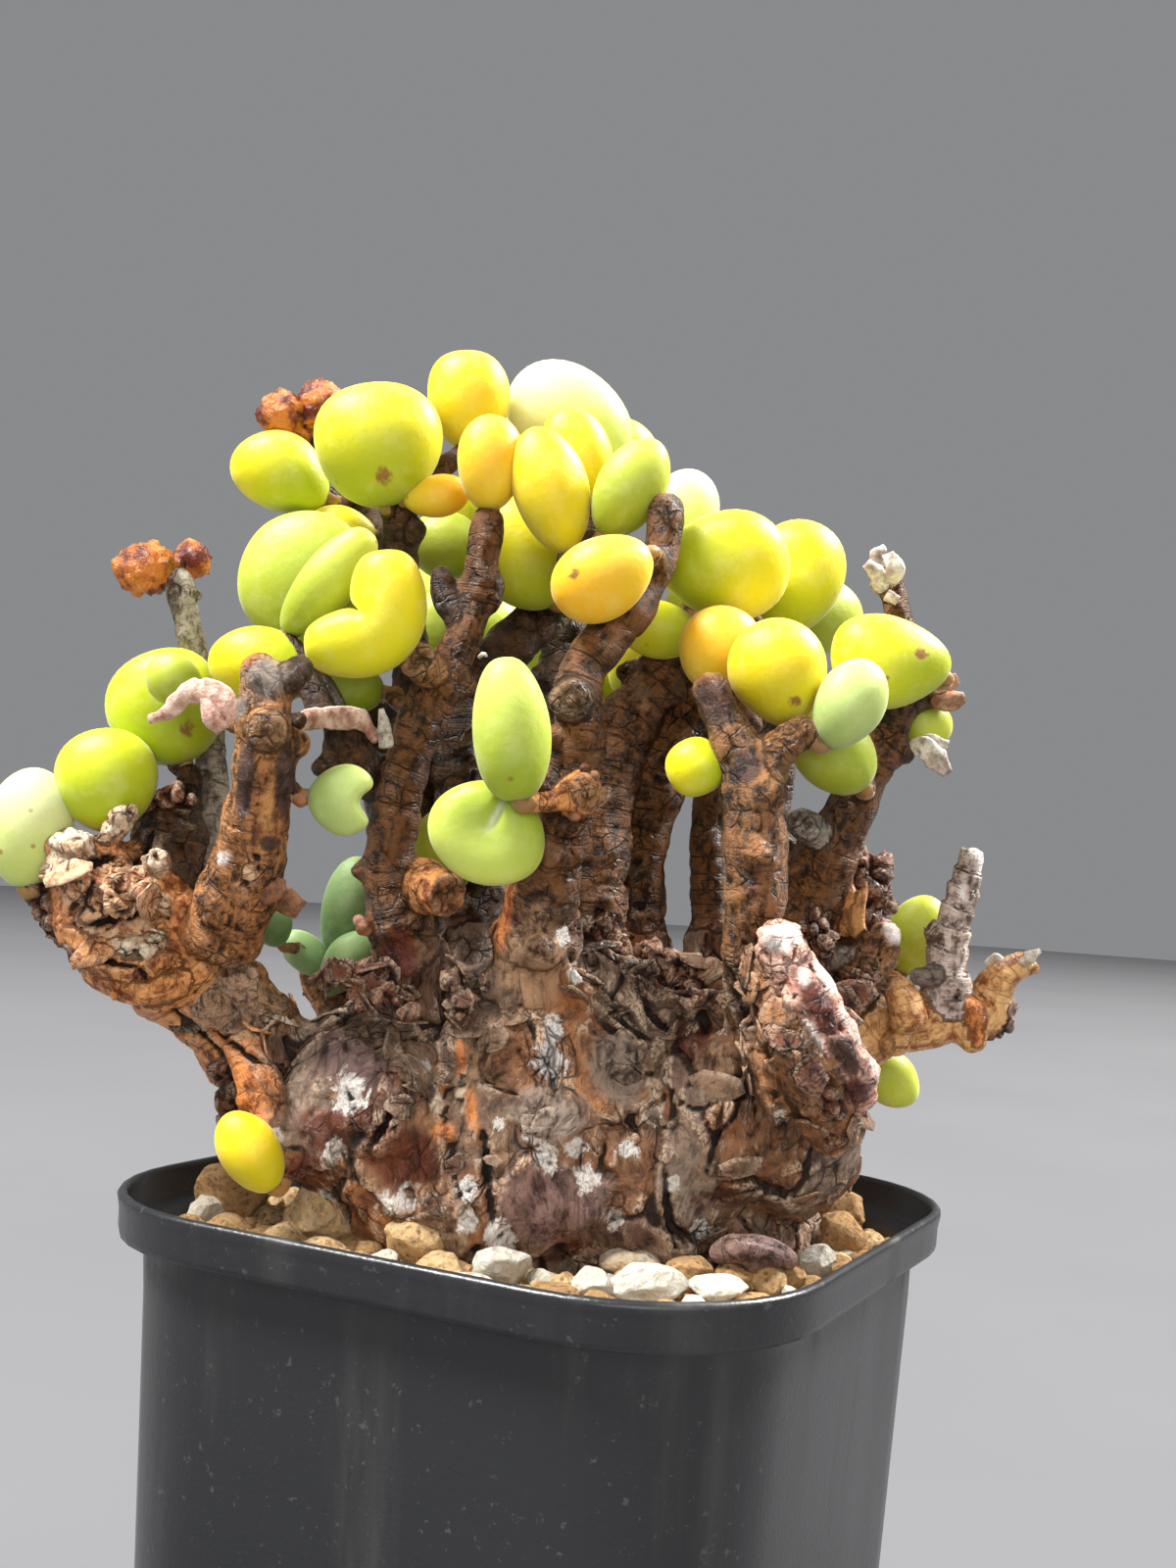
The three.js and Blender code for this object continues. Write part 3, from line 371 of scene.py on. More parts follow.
LEFT_LIMBS = [
    ("copper", [[-37.5, -16, -9, 4.6], [-35.5, -10, -13, 4.3], [-33.8, -3, -17, 3.8],
                [-33.2, 3, -19, 3.6], [-32.8, 8.5, -20, 3], [-33.6, 12, -20, 1.9],
                [-33.8, 13.2, -20, 1.5]]),
    ("dark", [[-32.4, 8.8, -20, 1.9], [-30.2, 11, -20, 1.5], [-28.6, 12.5, -19, 1.5]]),
    ("tan", [[-32.8, 5.5, -20, 2.4], [-32.8, 5.5, -24.3, 2.1]]),
    ("grey", [[-37.5, -10, -3, 2.3], [-38.4, 0, -1, 1.8], [-38.8, 8, 0, 1.4], [-39.7, 12.5, 0, 1.3],
              [-40.7, 16, 0, 1.5], [-41.6, 19.7, 0, 1.6], [-42, 22, 0.6, 1.3]]),
    ("stem", [[-16, -26, -3, 5.6], [-18.6, -17, -6.5, 3.9], [-20.4, -8.3, -8, 3.05],
              [-19.4, -1.1, -9, 2.6], [-17.8, 3.7, -9, 2.65], [-15.3, 9.7, -9, 2.75],
              [-12.4, 15.8, -8, 2.15], [-10.9, 21.8, -8, 2], [-10, 28, -8, 2.1]]),
    ("tan", [[-15.5, 11, -10, 1.9], [-17, 12.2, -12.4, 1.8], [-17.6, 12.8, -13.8, 1.7]]),
    ("dark", [[-13.2, 17, -8, 1.9], [-14.8, 19.5, -8, 1.6], [-15, 22.2, -8, 1.2]]),
    ("dark", [[-11.5, 20, -8, 1.4], [-8.6, 20.8, -8, 1.1]]),
    ("dark", [[-2.2, 19, 5, 1.9], [-1.9, 21.2, -1.5, 1.5], [-2, 22.8, -6.5, 1.2]]),
    ("orange", [[-17, -10, -8, 2.8], [-14.2, -11.4, -12.5, 2.5]]),
    ("dark", [[-17, -22, 5, 4], [-17.6, -5, 6, 3], [-17.4, 6, 4, 2.7], [-18.4, 16, 2, 2.3],
              [-19.3, 24, 0, 2.1], [-19.2, 28, -1, 2.1]]),
    ("dark", [[-19.4, 24.5, 0, 1.6], [-17, 26.6, -2, 1.3]]),
    ("dark", [[-19.6, 23, 1, 1.5], [-23.5, 29, 6, 1.3], [-26.5, 33.4, 5, 1.1], [-28.6, 35.2, 4, 1]]),
    ("dark", [[-19.5, -1, -5, 2.8], [-22.5, 1, -6, 2.5], [-25, 3.5, -8, 2.4], [-25.5, 5.2, -8.5, 2.2]]),
    ("dark", [[-30.4, 6.2, -15, 1], [-27, 6.8, -11, 0.9], [-24, 6.6, -9, 0.8], [-21.8, 5.6, -8, 0.7]]),
    ("dark", [[-26.4, 1.8, -7.5, 1.2], [-27.9, 1.6, -9, 1]]),
    ("stem", [[-5.5, -24, -5, 6], [-5.5, -15, -10, 4.9], [-3.8, -8, -13, 3.9], [-2, -1, -14, 3.2],
              [-1.2, 5, -15, 2.9], [-0.8, 10, -15, 2.8], [2, 14.5, -14, 2.5], [5, 18, -13, 2.2],
              [7.2, 23.5, -12, 2], [8.2, 29.4, -12, 1.8]]),
    ("dark", [[-1.4, 8.6, -15, 2.6], [-1.7, 8.5, -19, 2.1]]),
    ("orange", [[-1.5, -1.5, -15, 2.8], [0, -0.6, -19, 2]]),
    ("dark", [[7.4, 26, -12, 1.5], [9.4, 25.8, -12, 1.2]]),
    ("dark", [[-11, -22, 3, 5], [-12, -10, 3, 3.6], [-13, 0, 2, 3.2], [-12, 8, 2, 3], [-9, 13, 3, 2.9],
              [-5.5, 16, 4, 2.7], [-2, 19.5, 6, 2.2]]),
    ("dark", [[-16, -26, 12, 5], [-19.6, -8, 15, 2.9], [-21.4, 4, 14, 2.6], [-24.4, 11, 11, 2.2],
              [-26.6, 15, 9, 2]]),
    ("tan", [[-22, -26, 8, 4], [-27, -20, 9, 2.4], [-28.5, -17.5, 9, 1.8]]),
    ("dark", [[-12, -28, 20, 4.6], [-17, -12, 27, 3], [-19, 3, 28, 2.4], [-17, 12, 25, 2]]),
]

RIGHT_LIMBS = [
    ("stem", [[0, -18, -4, 5], [0.8, -9, -4, 3.6], [1.7, -2, -3, 3.2], [3.5, 5.5, -2, 3.2],
              [6.8, 10.5, -1, 3], [10, 14, 0, 2.6], [11.2, 16, 0, 2.2]]),
    ("stem", [[6.2, -22, 0, 3.9], [5.8, -14, 0, 2.5], [5.8, -8, 0, 2.4], [7, -2, 0, 2.6], [9, 4, 1, 2.5],
              [11.5, 9, 2, 2.5], [13.5, 14, 3, 2.2]]),
    ("stem", [[12.4, -22, 2, 3.6], [12.3, -14, 2, 2.1], [12.3, -7, 2, 2.05], [13, -1, 3, 2.2],
              [14.8, 5, 4, 2.1], [17, 11, 4, 2], [18, 15, 3, 1.8]]),
    ("mottled", [[18, -31, -10, 6], [17.5, -21, -16, 4], [16.8, -15, -18, 3.2], [17, -9, -19, 3.5],
                 [16.8, -3, -20, 3.5], [16, 1.5, -20, 3.2], [14.2, 5.5, -20, 2.5], [12.8, 9, -20, 2],
                 [12.2, 11, -20, 1.9]]),
    ("mottled", [[17, -1, -20, 3], [19, 3.2, -20, 2.2], [21.5, 5.2, -20, 1.8], [22.8, 6.2, -20, 1.5]]),
    ("stem", [[19, -21, -2, 5.2], [22.2, -11.5, -2, 3.9], [24.5, -6, -3, 3.2], [27.2, -1.2, -4, 2.5],
              [29.8, 3.5, -4, 2.3], [31.5, 8, -4, 2], [32.2, 13, -3, 1.7], [31.8, 17.5, -2, 1.5],
              [31, 20, -2, 1.4], [30.3, 22.4, -2, 1.5]]),
    ("grey", [[31.2, 20.2, -2, 1.1], [28.8, 20.6, -2, 1]]),
    ("dark", [[31.5, 8.2, -4, 1.6], [35, 9, -3, 1.5], [37.4, 9.5, -3, 1.6]]),
    ("dark", [[29.8, 3.8, -4, 1.5], [33.2, 3, -4, 1.2]]),
    ("grey", [[23.5, -5, -5, 1.8], [21, -3.6, -8, 1.6]]),
    ("dark", [[23, -24, 2, 5], [26.6, -15, 2, 4]]),
    ("crumbly", [[26.6, -15, 2, 4], [28.4, -9.4, 2, 3], [28, -7.2, 2, 2.6]]),
    ("shaggy", [[26, -21.5, -2, 3.6], [28.2, -18.8, -4.5, 2.7], [30, -16.2, -6.2, 1.9],
                [31, -14.4, -7, 1.3]]),
    ("honey", [[26.2, -15.4, -3.4, 0.75], [26.5, -12.6, -3.6, 0.65], [26.8, -9.4, -3.2, 0.3]]),
    ("honey", [[27.5, -15.4, -4.2, 0.7], [27.9, -12.6, -4.4, 0.55], [28.5, -9.8, -3.8, 0.3]]),
    ("ash", [[24.6, -18, -4, 1.3], [26.6, -17.4, -5.5, 1.2]]),
    ("ochre", [[22, -28, 1, 6], [30, -24, -1, 3.7], [33.5, -24, -2, 3.2], [37.5, -23.5, -2, 3.2],
               [40.5, -23, -2, 3], [42.2, -19.8, -2, 1.9], [45, -17.8, -2, 1.3]]),
    ("crumbly", [[40.6, -24.2, -1.5, 2.2], [43, -24.6, -2, 1.7]]),
    ("rust", [[39, -22.6, -4.4, 1.3], [39.9, -24.4, -4.8, 1.5]]),
    ("honey", [[44.4, -18.6, -2, 1], [46, -18.8, -2, 0.8]]),
    ("ash", [[33, -19.8, -4, 1], [35.2, -19.4, -5, 1.1]]),
    ("ringed", [[36.8, -22.5, -3, 2.7], [36.6, -18.5, -3, 2.3], [37.2, -14.5, -3, 1.9],
                [38.2, -11.2, -3, 1.7], [39, -8, -3, 1.4], [39.3, -6.6, -3, 1.3]]),
    ("dark", [[-4, -24, 10, 5.5], [-4, -8, 12, 3.6], [-3, 6, 12, 3], [-2, 18, 12, 2.6],
              [-1.5, 28, 11, 2.2], [-1.5, 31, 10, 1.8]]),
    ("dark", [[13, -26, 14, 5], [17, -8, 16, 3.2], [18.5, 4, 15, 2.8], [18, 14, 12, 2.2]]),
    ("tan", [[20, -26, 12, 4.6], [27, -19, 14, 3], [31, -17.5, 13, 2.2]]),
    ("dark", [[0, -28, 20, 5], [-3, -12, 26, 3.2], [-4, 2, 27, 2.6], [-3, 8, 25, 2.1]]),
    ("dark", [[12, -28, 20, 4.6], [15, -14, 28, 3], [14, 0, 30, 2.4], [10, 8, 27, 2]]),
]


def bark_tint(dark, light, grey=0.0, rings=0.0, gap=1.0, cups=0.0, calm=0.0, gloss=0.0, crumbs=0.0,
              sink=0.0):
    """Two bark colours, how grey the plates are, how strong the rings are, how far apart and how like
    stacked cups, how much calmer than rough bark it is, how glossy and crumbly, and how far sunk."""
    return {"dark": dark, "light": light, "grey": grey, "rings": rings, "gap": gap, "cups": cups,
            "calm": calm, "gloss": gloss, "crumbs": crumbs, "sink": sink}


TINTS = {
    "plain": bark_tint((0.045, 0.017, 0.008), (0.3, 0.17, 0.1), grey=0.8),
    "orange": bark_tint((0.19, 0.034, 0.006), (1.0, 0.43, 0.14), grey=0.05, rings=0.6, gloss=0.4),
    # dark: near-black bark; on the stems at the back it is also painted shade.
    "dark": bark_tint((0.006, 0.002, 0.001), (0.1, 0.042, 0.013), grey=0.2, rings=0.8, gloss=0.3),
    "stem": bark_tint((0.012, 0.004, 0.001), (0.22, 0.085, 0.022), grey=0.2, rings=0.9, gloss=0.4),
    "mottled": bark_tint((0.02, 0.007, 0.003), (0.36, 0.16, 0.055), grey=0.3, rings=0.5, gloss=0.6),
    "copper": bark_tint((0.035, 0.01, 0.003), (0.6, 0.25, 0.08), grey=0.2, rings=0.4, gloss=0.6),
    "tan": bark_tint((0.07, 0.022, 0.006), (0.56, 0.26, 0.09), grey=0.2, rings=0.4),
    "ochre": bark_tint((0.34, 0.09, 0.018), (1.0, 0.56, 0.22), calm=0.6, rings=0.5, gloss=0.5),
    "pink": bark_tint((0.3, 0.066, 0.034), (0.94, 0.56, 0.42), rings=1.2, gap=1.3, gloss=0.7, crumbs=0.5),
    "shaggy": bark_tint((0.05, 0.016, 0.006), (0.4, 0.18, 0.07), grey=0.2, gloss=0.3, crumbs=0.5),
    "grey": bark_tint((0.08, 0.05, 0.03), (0.5, 0.42, 0.33), grey=0.5, rings=0.4),
    "ringed": bark_tint((0.11, 0.05, 0.032), (0.8, 0.64, 0.54), grey=0.2, rings=1.4, gap=1.5, cups=1.0,
                   calm=0.5),
    "cream": bark_tint((0.52, 0.25, 0.11), (1.0, 0.83, 0.6), crumbs=0.8),
    "flesh": bark_tint((0.3, 0.085, 0.024), (1.0, 0.58, 0.31), crumbs=0.9),
    "crumbly": bark_tint((0.02, 0.005, 0.003), (0.2, 0.065, 0.03), crumbs=1.3),
    "honey": bark_tint((0.25, 0.08, 0.02), (0.76, 0.36, 0.12), calm=0.7, gloss=0.5),
    "rust": bark_tint((0.24, 0.05, 0.008), (0.92, 0.33, 0.09), calm=0.4, gloss=0.4),
    "plum": bark_tint((0.022, 0.008, 0.005), (0.13, 0.058, 0.038), calm=0.6, gloss=0.8),
    "wine": bark_tint((0.024, 0.004, 0.002), (0.17, 0.036, 0.016), calm=0.4, gloss=0.8),
    "mauve": bark_tint((0.03, 0.01, 0.008), (0.28, 0.17, 0.15), calm=0.6, gloss=0.4),
    "slate": bark_tint((0.045, 0.028, 0.018), (0.38, 0.29, 0.22), calm=0.7, gloss=0.3),
    "bronze": bark_tint((0.06, 0.022, 0.008), (0.48, 0.28, 0.15), calm=0.7, gloss=0.3),
    "ash": bark_tint((0.06, 0.04, 0.03), (0.31, 0.24, 0.19), calm=0.5, gloss=0.5),
    "white": bark_tint((0.62, 0.41, 0.33), (1.0, 0.92, 0.85), calm=0.5, gloss=0.6),
    "shadow": bark_tint((0.006, 0.002, 0.001), (0.035, 0.014, 0.006), sink=1.0),
}
TINT_NAMES = list(TINTS)

# Patches of another tint on the side towards the eye: their middle, half width, half height and lean.
PATCHES = [
    ("honey", (-33, -3.2, -20), 0.75, 5, 9),
    ("flesh", (-34.6, -9.4, -17), 1.2, 2.2, 20),
    ("plum", (-35.1, 0.2, -19), 1, 4.6, 4),
    ("plum", (-30.8, 0.2, -19), 1.1, 4.6, 0),
    ("plum", (-32.4, -6, -19), 1.1, 0.8, 0),
    ("ash", (-32.9, 10.8, -21), 2.4, 2.4, 0),
    # Painted highlights: a pale one on the near upright's left side and a glossy white spot below it.
    ("ash", (-35.4, 7.8, -20), 0.8, 1.6, 20),
    ("white", (-37.3, -7.6, -15), 0.8, 0.8, 0),
    ("bronze", (-36.2, -23, -13), 4.6, 4, -45),
    ("cream", (-31.8, -23.4, -13), 0.45, 3.2, 38),
    ("rust", (-36.6, -26.6, -12), 0.8, 2.4, -55),
    ("wine", (-19.3, -17.6, -12), 2.2, 2.9, 0),
    ("tan", (-9.4, -13.8, -14), 2.4, 5, 0),
    ("rust", (-12.3, -31.3, -17), 0.8, 5.6, -8),
    ("wine", (-19.2, -37.9, -16), 4.6, 3.2, 20),
    ("shadow", (3.3, -31, -17), 0.5, 5.8, -24),
    ("slate", (3, -29.2, -17), 3.2, 4, -20),
    ("slate", (-4.2, -33.7, -18), 4.2, 3, 10),
    ("mauve", (-3.9, -42.7, -17), 7, 4.4, 0),
    ("slate", (10.3, -41.2, -16), 3.4, 4.8, 8),
    ("bronze", (13, -28.9, -17), 2.4, 2.8, 0),
    ("mauve", (-24.3, -28, -15), 3.6, 3, 0),
    ("cream", (-15.3, -32.8, -17), 1.1, 1, 0),
    ("rust", (-14.7, -35.5, -17), 1.3, 1.3, 0),
    ("shadow", (4.9, -8, -2), 0.6, 0.45, 0),
    ("shadow", (5.3, -12.4, -2), 0.6, 0.5, 0),
    ("wine", (23.6, -22.6, -27), 1.5, 3.4, -28),
    ("plum", (26.2, -27.6, -27), 1.4, 2.4, -28),
    ("wine", (27.4, -31.4, -26), 1.2, 1.4, -20),
    # White on the front-right arm's cap and right edge: crust, and painted highlight along that edge.
    ("white", (20, -15.6, -26), 2.2, 1.5, -25),
    ("white", (22, -19.6, -27), 0.8, 1.1, 0),
    ("white", (24.4, -19.6, -26), 0.5, 2.4, -30),
    ("white", (26.9, -24.4, -26), 0.5, 2.4, -28),
    ("white", (29.2, -28.8, -25), 0.45, 2.2, -22),
    ("white", (23.2, -25.8, -26), 0.35, 2.2, -30),
    ("plum", (12.7, 8.2, -21), 2.2, 2.6, 0),
    ("plum", (16.2, 1.8, -22), 1.6, 1.8, 30),
    ("white", (39.8, -7.4, -4), 0.7, 1.6, -12),
    ("white", (38.4, -11, -4), 0.6, 1.2, -12),
    # The head's cream patches: pale bark, and painted highlight on its lit lumps.
    ("cream", (-53.2, -7.6, -13), 3, 1.7, -10),
    ("cream", (-47.8, -4, -11.5), 1.8, 1.8, 0),
    ("cream", (-44.2, -8.2, -13), 1.6, 1.6, 0),
    ("flesh", (-48.6, -12, -14.4), 5.4, 4.4, 0),
    ("cream", (-45.8, -16.4, -14), 2.6, 0.8, 0),
    ("shadow", (-48.6, -14, -15), 3, 0.45, -14),
    ("shadow", (-51, -11.4, -14), 0.45, 2.4, 24),
    ("shadow", (-45.3, -6.6, -12.6), 0.45, 2, 20),
    ("shadow", (-49.8, -7.8, -13.4), 2, 0.4, -20),
    ("shadow", (-49.6, -18, -12.5), 3.6, 0.4, 12),
    ("shadow", (-43.6, -21.6, -12.5), 0.5, 3.4, -40),
    ("shadow", (-40, -25.4, -11), 0.45, 3.6, -45),
    ("shadow", (-34.6, -27.6, -12), 0.45, 4.6, -58),
    ("shadow", (-10.4, -40, -17.5), 0.5, 5.4, -8),
    ("shadow", (8.4, -44, -16.5), 0.45, 5, -6),
    ("shadow", (-20.8, -34.6, -16), 0.45, 3.6, 30),
    ("shadow", (13, -36, -17), 0.45, 4, 14),
    ("cream", (-13, -31.6, -17.4), 0.5, 2.2, 10),
    ("cream", (6.6, -31, -17.4), 0.4, 3.4, -24),
    ("bronze", (-5.6, -18.3, -14), 3.6, 6, 0),
    # A dark crumbly band between the stems' feet, partly painted shade in that crevice.
    ("crumbly", (5.8, -17.6, -11), 2.6, 8, -60),
    ("shadow", (5.2, -18.6, -11), 0.8, 7, -60),
    ("shadow", (15.4, -22.6, -18), 0.8, 4, -20),
    ("rust", (-8.8, -13.4, -14), 0.9, 3.6, 6),
    ("shadow", (2.6, -22.2, -15), 0.8, 6, -44),
    ("shadow", (6.6, -22.6, -15), 0.6, 3, -30),
    ("wine", (-27, -35.4, -14), 3.2, 2.6, 0),
    ("wine", (-28.6, -39.6, -13), 2.2, 2.6, 0),
    ("bronze", (-11, -27.4, -16), 1.3, 4, 15),
    ("plum", (2.6, -46.4, -16), 5, 1.8, 0),
    ("white", (31.5, -14.8, -8), 1.4, 1.7, 0),
    ("orange", (-44.4, -22.4, -12), 3, 2.4, -45),
]

# White mineral crust: its middle and reach.
CHALK = [
    ((-3.6, -25.3), 2), ((-3.9, -28.3), 2.6), ((-24.6, -31.3), 2.9), ((-17.1, -29.2), 1.2),
    ((-5.7, -35.8), 1.6), ((-4.2, -38.2), 2.1), ((-1.2, -37.3), 1.6), ((0, -40.3), 2),
    ((4.2, -37.3), 1.6), ((-18.6, -42.1), 2.2), ((-20.4, -42.7), 2), ((-12.3, -41.5), 1.6),
    ((-12.3, -44.3), 1.6), ((-9, -46.3), 2.4), ((6.7, -33.7), 1.3), ((8.5, -40.9), 1.2),
    ((11.5, -45.7), 1.6), ((-27.5, -43), 1.6), ((-26, -37.6), 1.8), ((-2.4, -15.6), 1.4),
    ((-1.2, -19.5), 1.3), ((19.6, -34), 1), ((-32, -36), 1.2), ((-9.4, -34.4), 1.1), ((2.6, -44.6), 1.6),
]

# Round leaf scars that face the eye: middle and radius.
SCARS = [
    ((-32.6, 5.5), 1.8), ((-1.7, 8.5), 1.9), ((-17.6, 12.8), 1.6), ((0.2, -0.8), 1.8),
    ((-14.2, -11.4), 1.8),
]


def limb_curve(limb, spacing):
    """Places and radii evenly along a limb: a centripetal Catmull-Rom curve through its points."""
    marks = np.array([seen(point[:3]) for point in limb])
    sizes = np.array([point[3] * scale_at(point[2]) for point in limb])
    ends = np.vstack([2 * marks[0] - marks[1], marks, 2 * marks[-1] - marks[-2]])
    fine = []
    for k in range(len(marks) - 1):
        p0, p1, p2, p3 = ends[k:k + 4]
        d0, d1, d2 = (np.linalg.norm(b - a) ** 0.5 for a, b in ((p0, p1), (p1, p2), (p2, p3)))
        m1 = ((p1 - p0) / d0 - (p2 - p0) / (d0 + d1) + (p2 - p1) / d1) * d1
        m2 = ((p2 - p1) / d1 - (p3 - p1) / (d1 + d2) + (p3 - p2) / d2) * d1
        t = np.linspace(0, 1, 24, endpoint=k == len(marks) - 2)[:, None]
        place = p1 + m1 * t + (3 * (p2 - p1) - 2 * m1 - m2) * t ** 2 + (2 * (p1 - p2) + m1 + m2) * t ** 3
        fine.append(np.hstack([place, sizes[k] + (sizes[k + 1] - sizes[k]) * t]))
    fine = np.vstack(fine)
    run = np.concatenate([[0], np.cumsum(np.linalg.norm(np.diff(fine[:, :3], axis=0), axis=1))])
    count = max(3, int(round(run[-1] / spacing)) + 1)
    at = np.linspace(0, run[-1], count)
    even = np.stack([np.interp(at, run, fine[:, k]) for k in range(4)], axis=1)
    return even[:, :3], even[:, 3], at


# The columns of a skeleton's rows: the place on the limb's middle line, its radius, the run along the limb,
# which way the limb goes, the limb's number, how far apart its rings are, how many lie below, and its tint.
PLACE = slice(0, 3)
RADIUS = 3
RUN = 4
WAY = slice(5, 8)
LIMB = 8
RING_GAP = 9
TURN = 10
TINT = 11


class Skeleton:
    """Stations along limbs, to tell a point which limb it lies on and where."""

    def __init__(self, limbs):
        self.limbs = limbs
        rows = []
        for number, (tint, limb) in enumerate(limbs):
            places, radii, run = limb_curve(limb, STATION_STEP)
            along = unit(np.gradient(places, axis=0))
            ring_gap = TINTS[tint]["gap"] * np.clip(0.75 * radii, 1.3, 2.6)
            turns = np.concatenate([[0], np.cumsum(np.diff(run) / ring_gap[1:])]) + 0.37 * number
            numbers = np.full(len(run), number)
            own = np.full(len(run), TINT_NAMES.index(tint))
            rows.append(np.column_stack([places, radii, run, along, numbers, ring_gap, turns, own]))
        self.rows = np.vstack(rows)

    def nearest(self, points):
        """For each point the station whose surface is nearest, and the distance from that surface."""
        best, gap = [], []
        for some in np.array_split(points, len(points) // 20000 + 1):
            off = some[:, None] - self.rows[None, :, PLACE]
            away = np.sqrt(np.einsum("ijk,ijk->ij", off, off)) - self.rows[None, :, RADIUS]
            best.append(away.argmin(1))
            gap.append(away.min(1))
        return np.concatenate(best), np.concatenate(gap)

    def local(self, points, best):
        """Each point in the axes of its limb, two ways off the middle line and the run along it, and its
        turn: how many rings of the limb lie below it."""
        row = self.rows[best]
        off = points - row[:, PLACE]
        way = row[:, WAY]
        ahead = np.sum(off * way, axis=1)
        level = np.cross(way, TO_EYE)
        level /= np.linalg.norm(level, axis=1)[:, None] + 1e-9
        third = np.cross(level, way)
        place = np.stack([
            np.sum(off * level, axis=1) + LIMB_SHIFT * row[:, LIMB],
            np.sum(off * third, axis=1),
            row[:, RUN] + ahead,
        ], axis=1)
        return place, row[:, TURN] + ahead / row[:, RING_GAP]


ALL_LIMBS = Skeleton(BASE_LIMBS + LEFT_LIMBS + RIGHT_LIMBS)


def lump_gap(points):
    """Roughly how far each point is from the swollen base."""
    gaps = []
    for at, radii in LUMPS[:-1]:
        local = (points - seen(at)) @ STANDING / (np.array(radii) * scale_at(at[2]))
        gaps.append((np.linalg.norm(local, axis=1) - 1) * min(radii))
    return np.min(gaps, axis=0)


def limb_body(limb):
    """A limb's plain tube, which wanders a little and swells and thins as a jointed stem does."""
    places, radii, run = limb_curve(limb, TUBE_STEP)
    sway = np.stack([smooth_noise(places, 6.5, 70 + k) for k in range(3)], axis=1)
    inner = ramp(run, 0, 6) * ramp(run[-1] - run, 0, 6)
    places = places + 0.16 * sway * (radii * inner)[:, None]
    swell = 0.95 + 0.09 * smooth_noise(places, 3.4, 74) + 0.05 * np.sin(run * 1.3 + limb[0][0])
    thin = 0.12 * (1 - ramp(radii, 1.2, 2.4))
    ending = 1 - 0.25 * ramp(run, run[-1] - 0.8, run[-1])
    return tube(places, (radii * swell + thin) * ending, 20)


def lump_body(at, radii):
    points, faces = BALLS[4]
    rough = 1 + 0.05 * smooth_noise(points * 3, 1.3, int(radii[0]))
    return seen(at) + (points * np.array(radii) * rough[:, None] * scale_at(at[2])) @ STANDING.T, faces


def blurred(numbers, faces, times):
    """Numbers on a mesh's points, each averaged with those of its neighbours many times."""
    corners = np.array(faces)
    ends = np.vstack([np.column_stack([corners[:, k], corners[:, (k + 1) % 4]]) for k in range(4)])
    count = len(numbers)
    shared = np.bincount(ends.ravel(), minlength=count)
    for _ in range(times):
        total = np.bincount(ends[:, 0], numbers[ends[:, 1]], count)
        total += np.bincount(ends[:, 1], numbers[ends[:, 0]], count)
        numbers = 0.4 * numbers + 0.6 * total / shared
    return numbers


def tint_shares(points, normals, own, on_lump):
    """How much of each tint every point of the wood has, from its own tint, the base and the patches."""
    shares = np.zeros((len(points), len(TINT_NAMES)))
    shares[np.arange(len(points)), own] = 1 - on_lump
    shares[:, TINT_NAMES.index("plain")] += on_lump
    spots = unseen(points)
    facing = ramp(normals @ TO_EYE, -0.1, 0.25)
    ragged = 0.3 * rough_noise(points, 1.6, 81, 2)
    for tint, middle, width, height, lean in PATCHES:
        off = spots - np.array(middle)
        angle = math.radians(lean)
        level = off[:, 0] * math.cos(angle) - off[:, 1] * math.sin(angle)
        upright = off[:, 0] * math.sin(angle) + off[:, 1] * math.cos(angle)
        reach = np.hypot(level / width, upright / height) + ragged
        share = (1 - ramp(reach, 0.75, 1.15)) * facing * (1 - ramp(np.abs(off[:, 2]), *PATCH_DEPTH))
        shares *= 1 - share[:, None]
        shares[:, TINT_NAMES.index(tint)] += share
    return shares, spots, facing


def scar_reach(spots, facing):
    """How far each point is from the nearest round scar, in radii of the scar."""
    scar = np.full(len(spots), 2.0)
    for middle, reach in SCARS:
        away = np.linalg.norm(spots[:, :2] - np.array(middle), axis=1) / reach
        scar = np.minimum(scar, away + 4 * (1 - facing))
    return scar


def chalk_share(spots, facing):
    chalk = np.zeros(len(spots))
    for middle, reach in CHALK:
        away = np.linalg.norm((spots[:, :2] - np.array(middle)) * np.array([1, 0.85]), axis=1)
        chalk = np.maximum(chalk, bell(away, reach) * facing * (spots[:, 2] < 2))
    return chalk


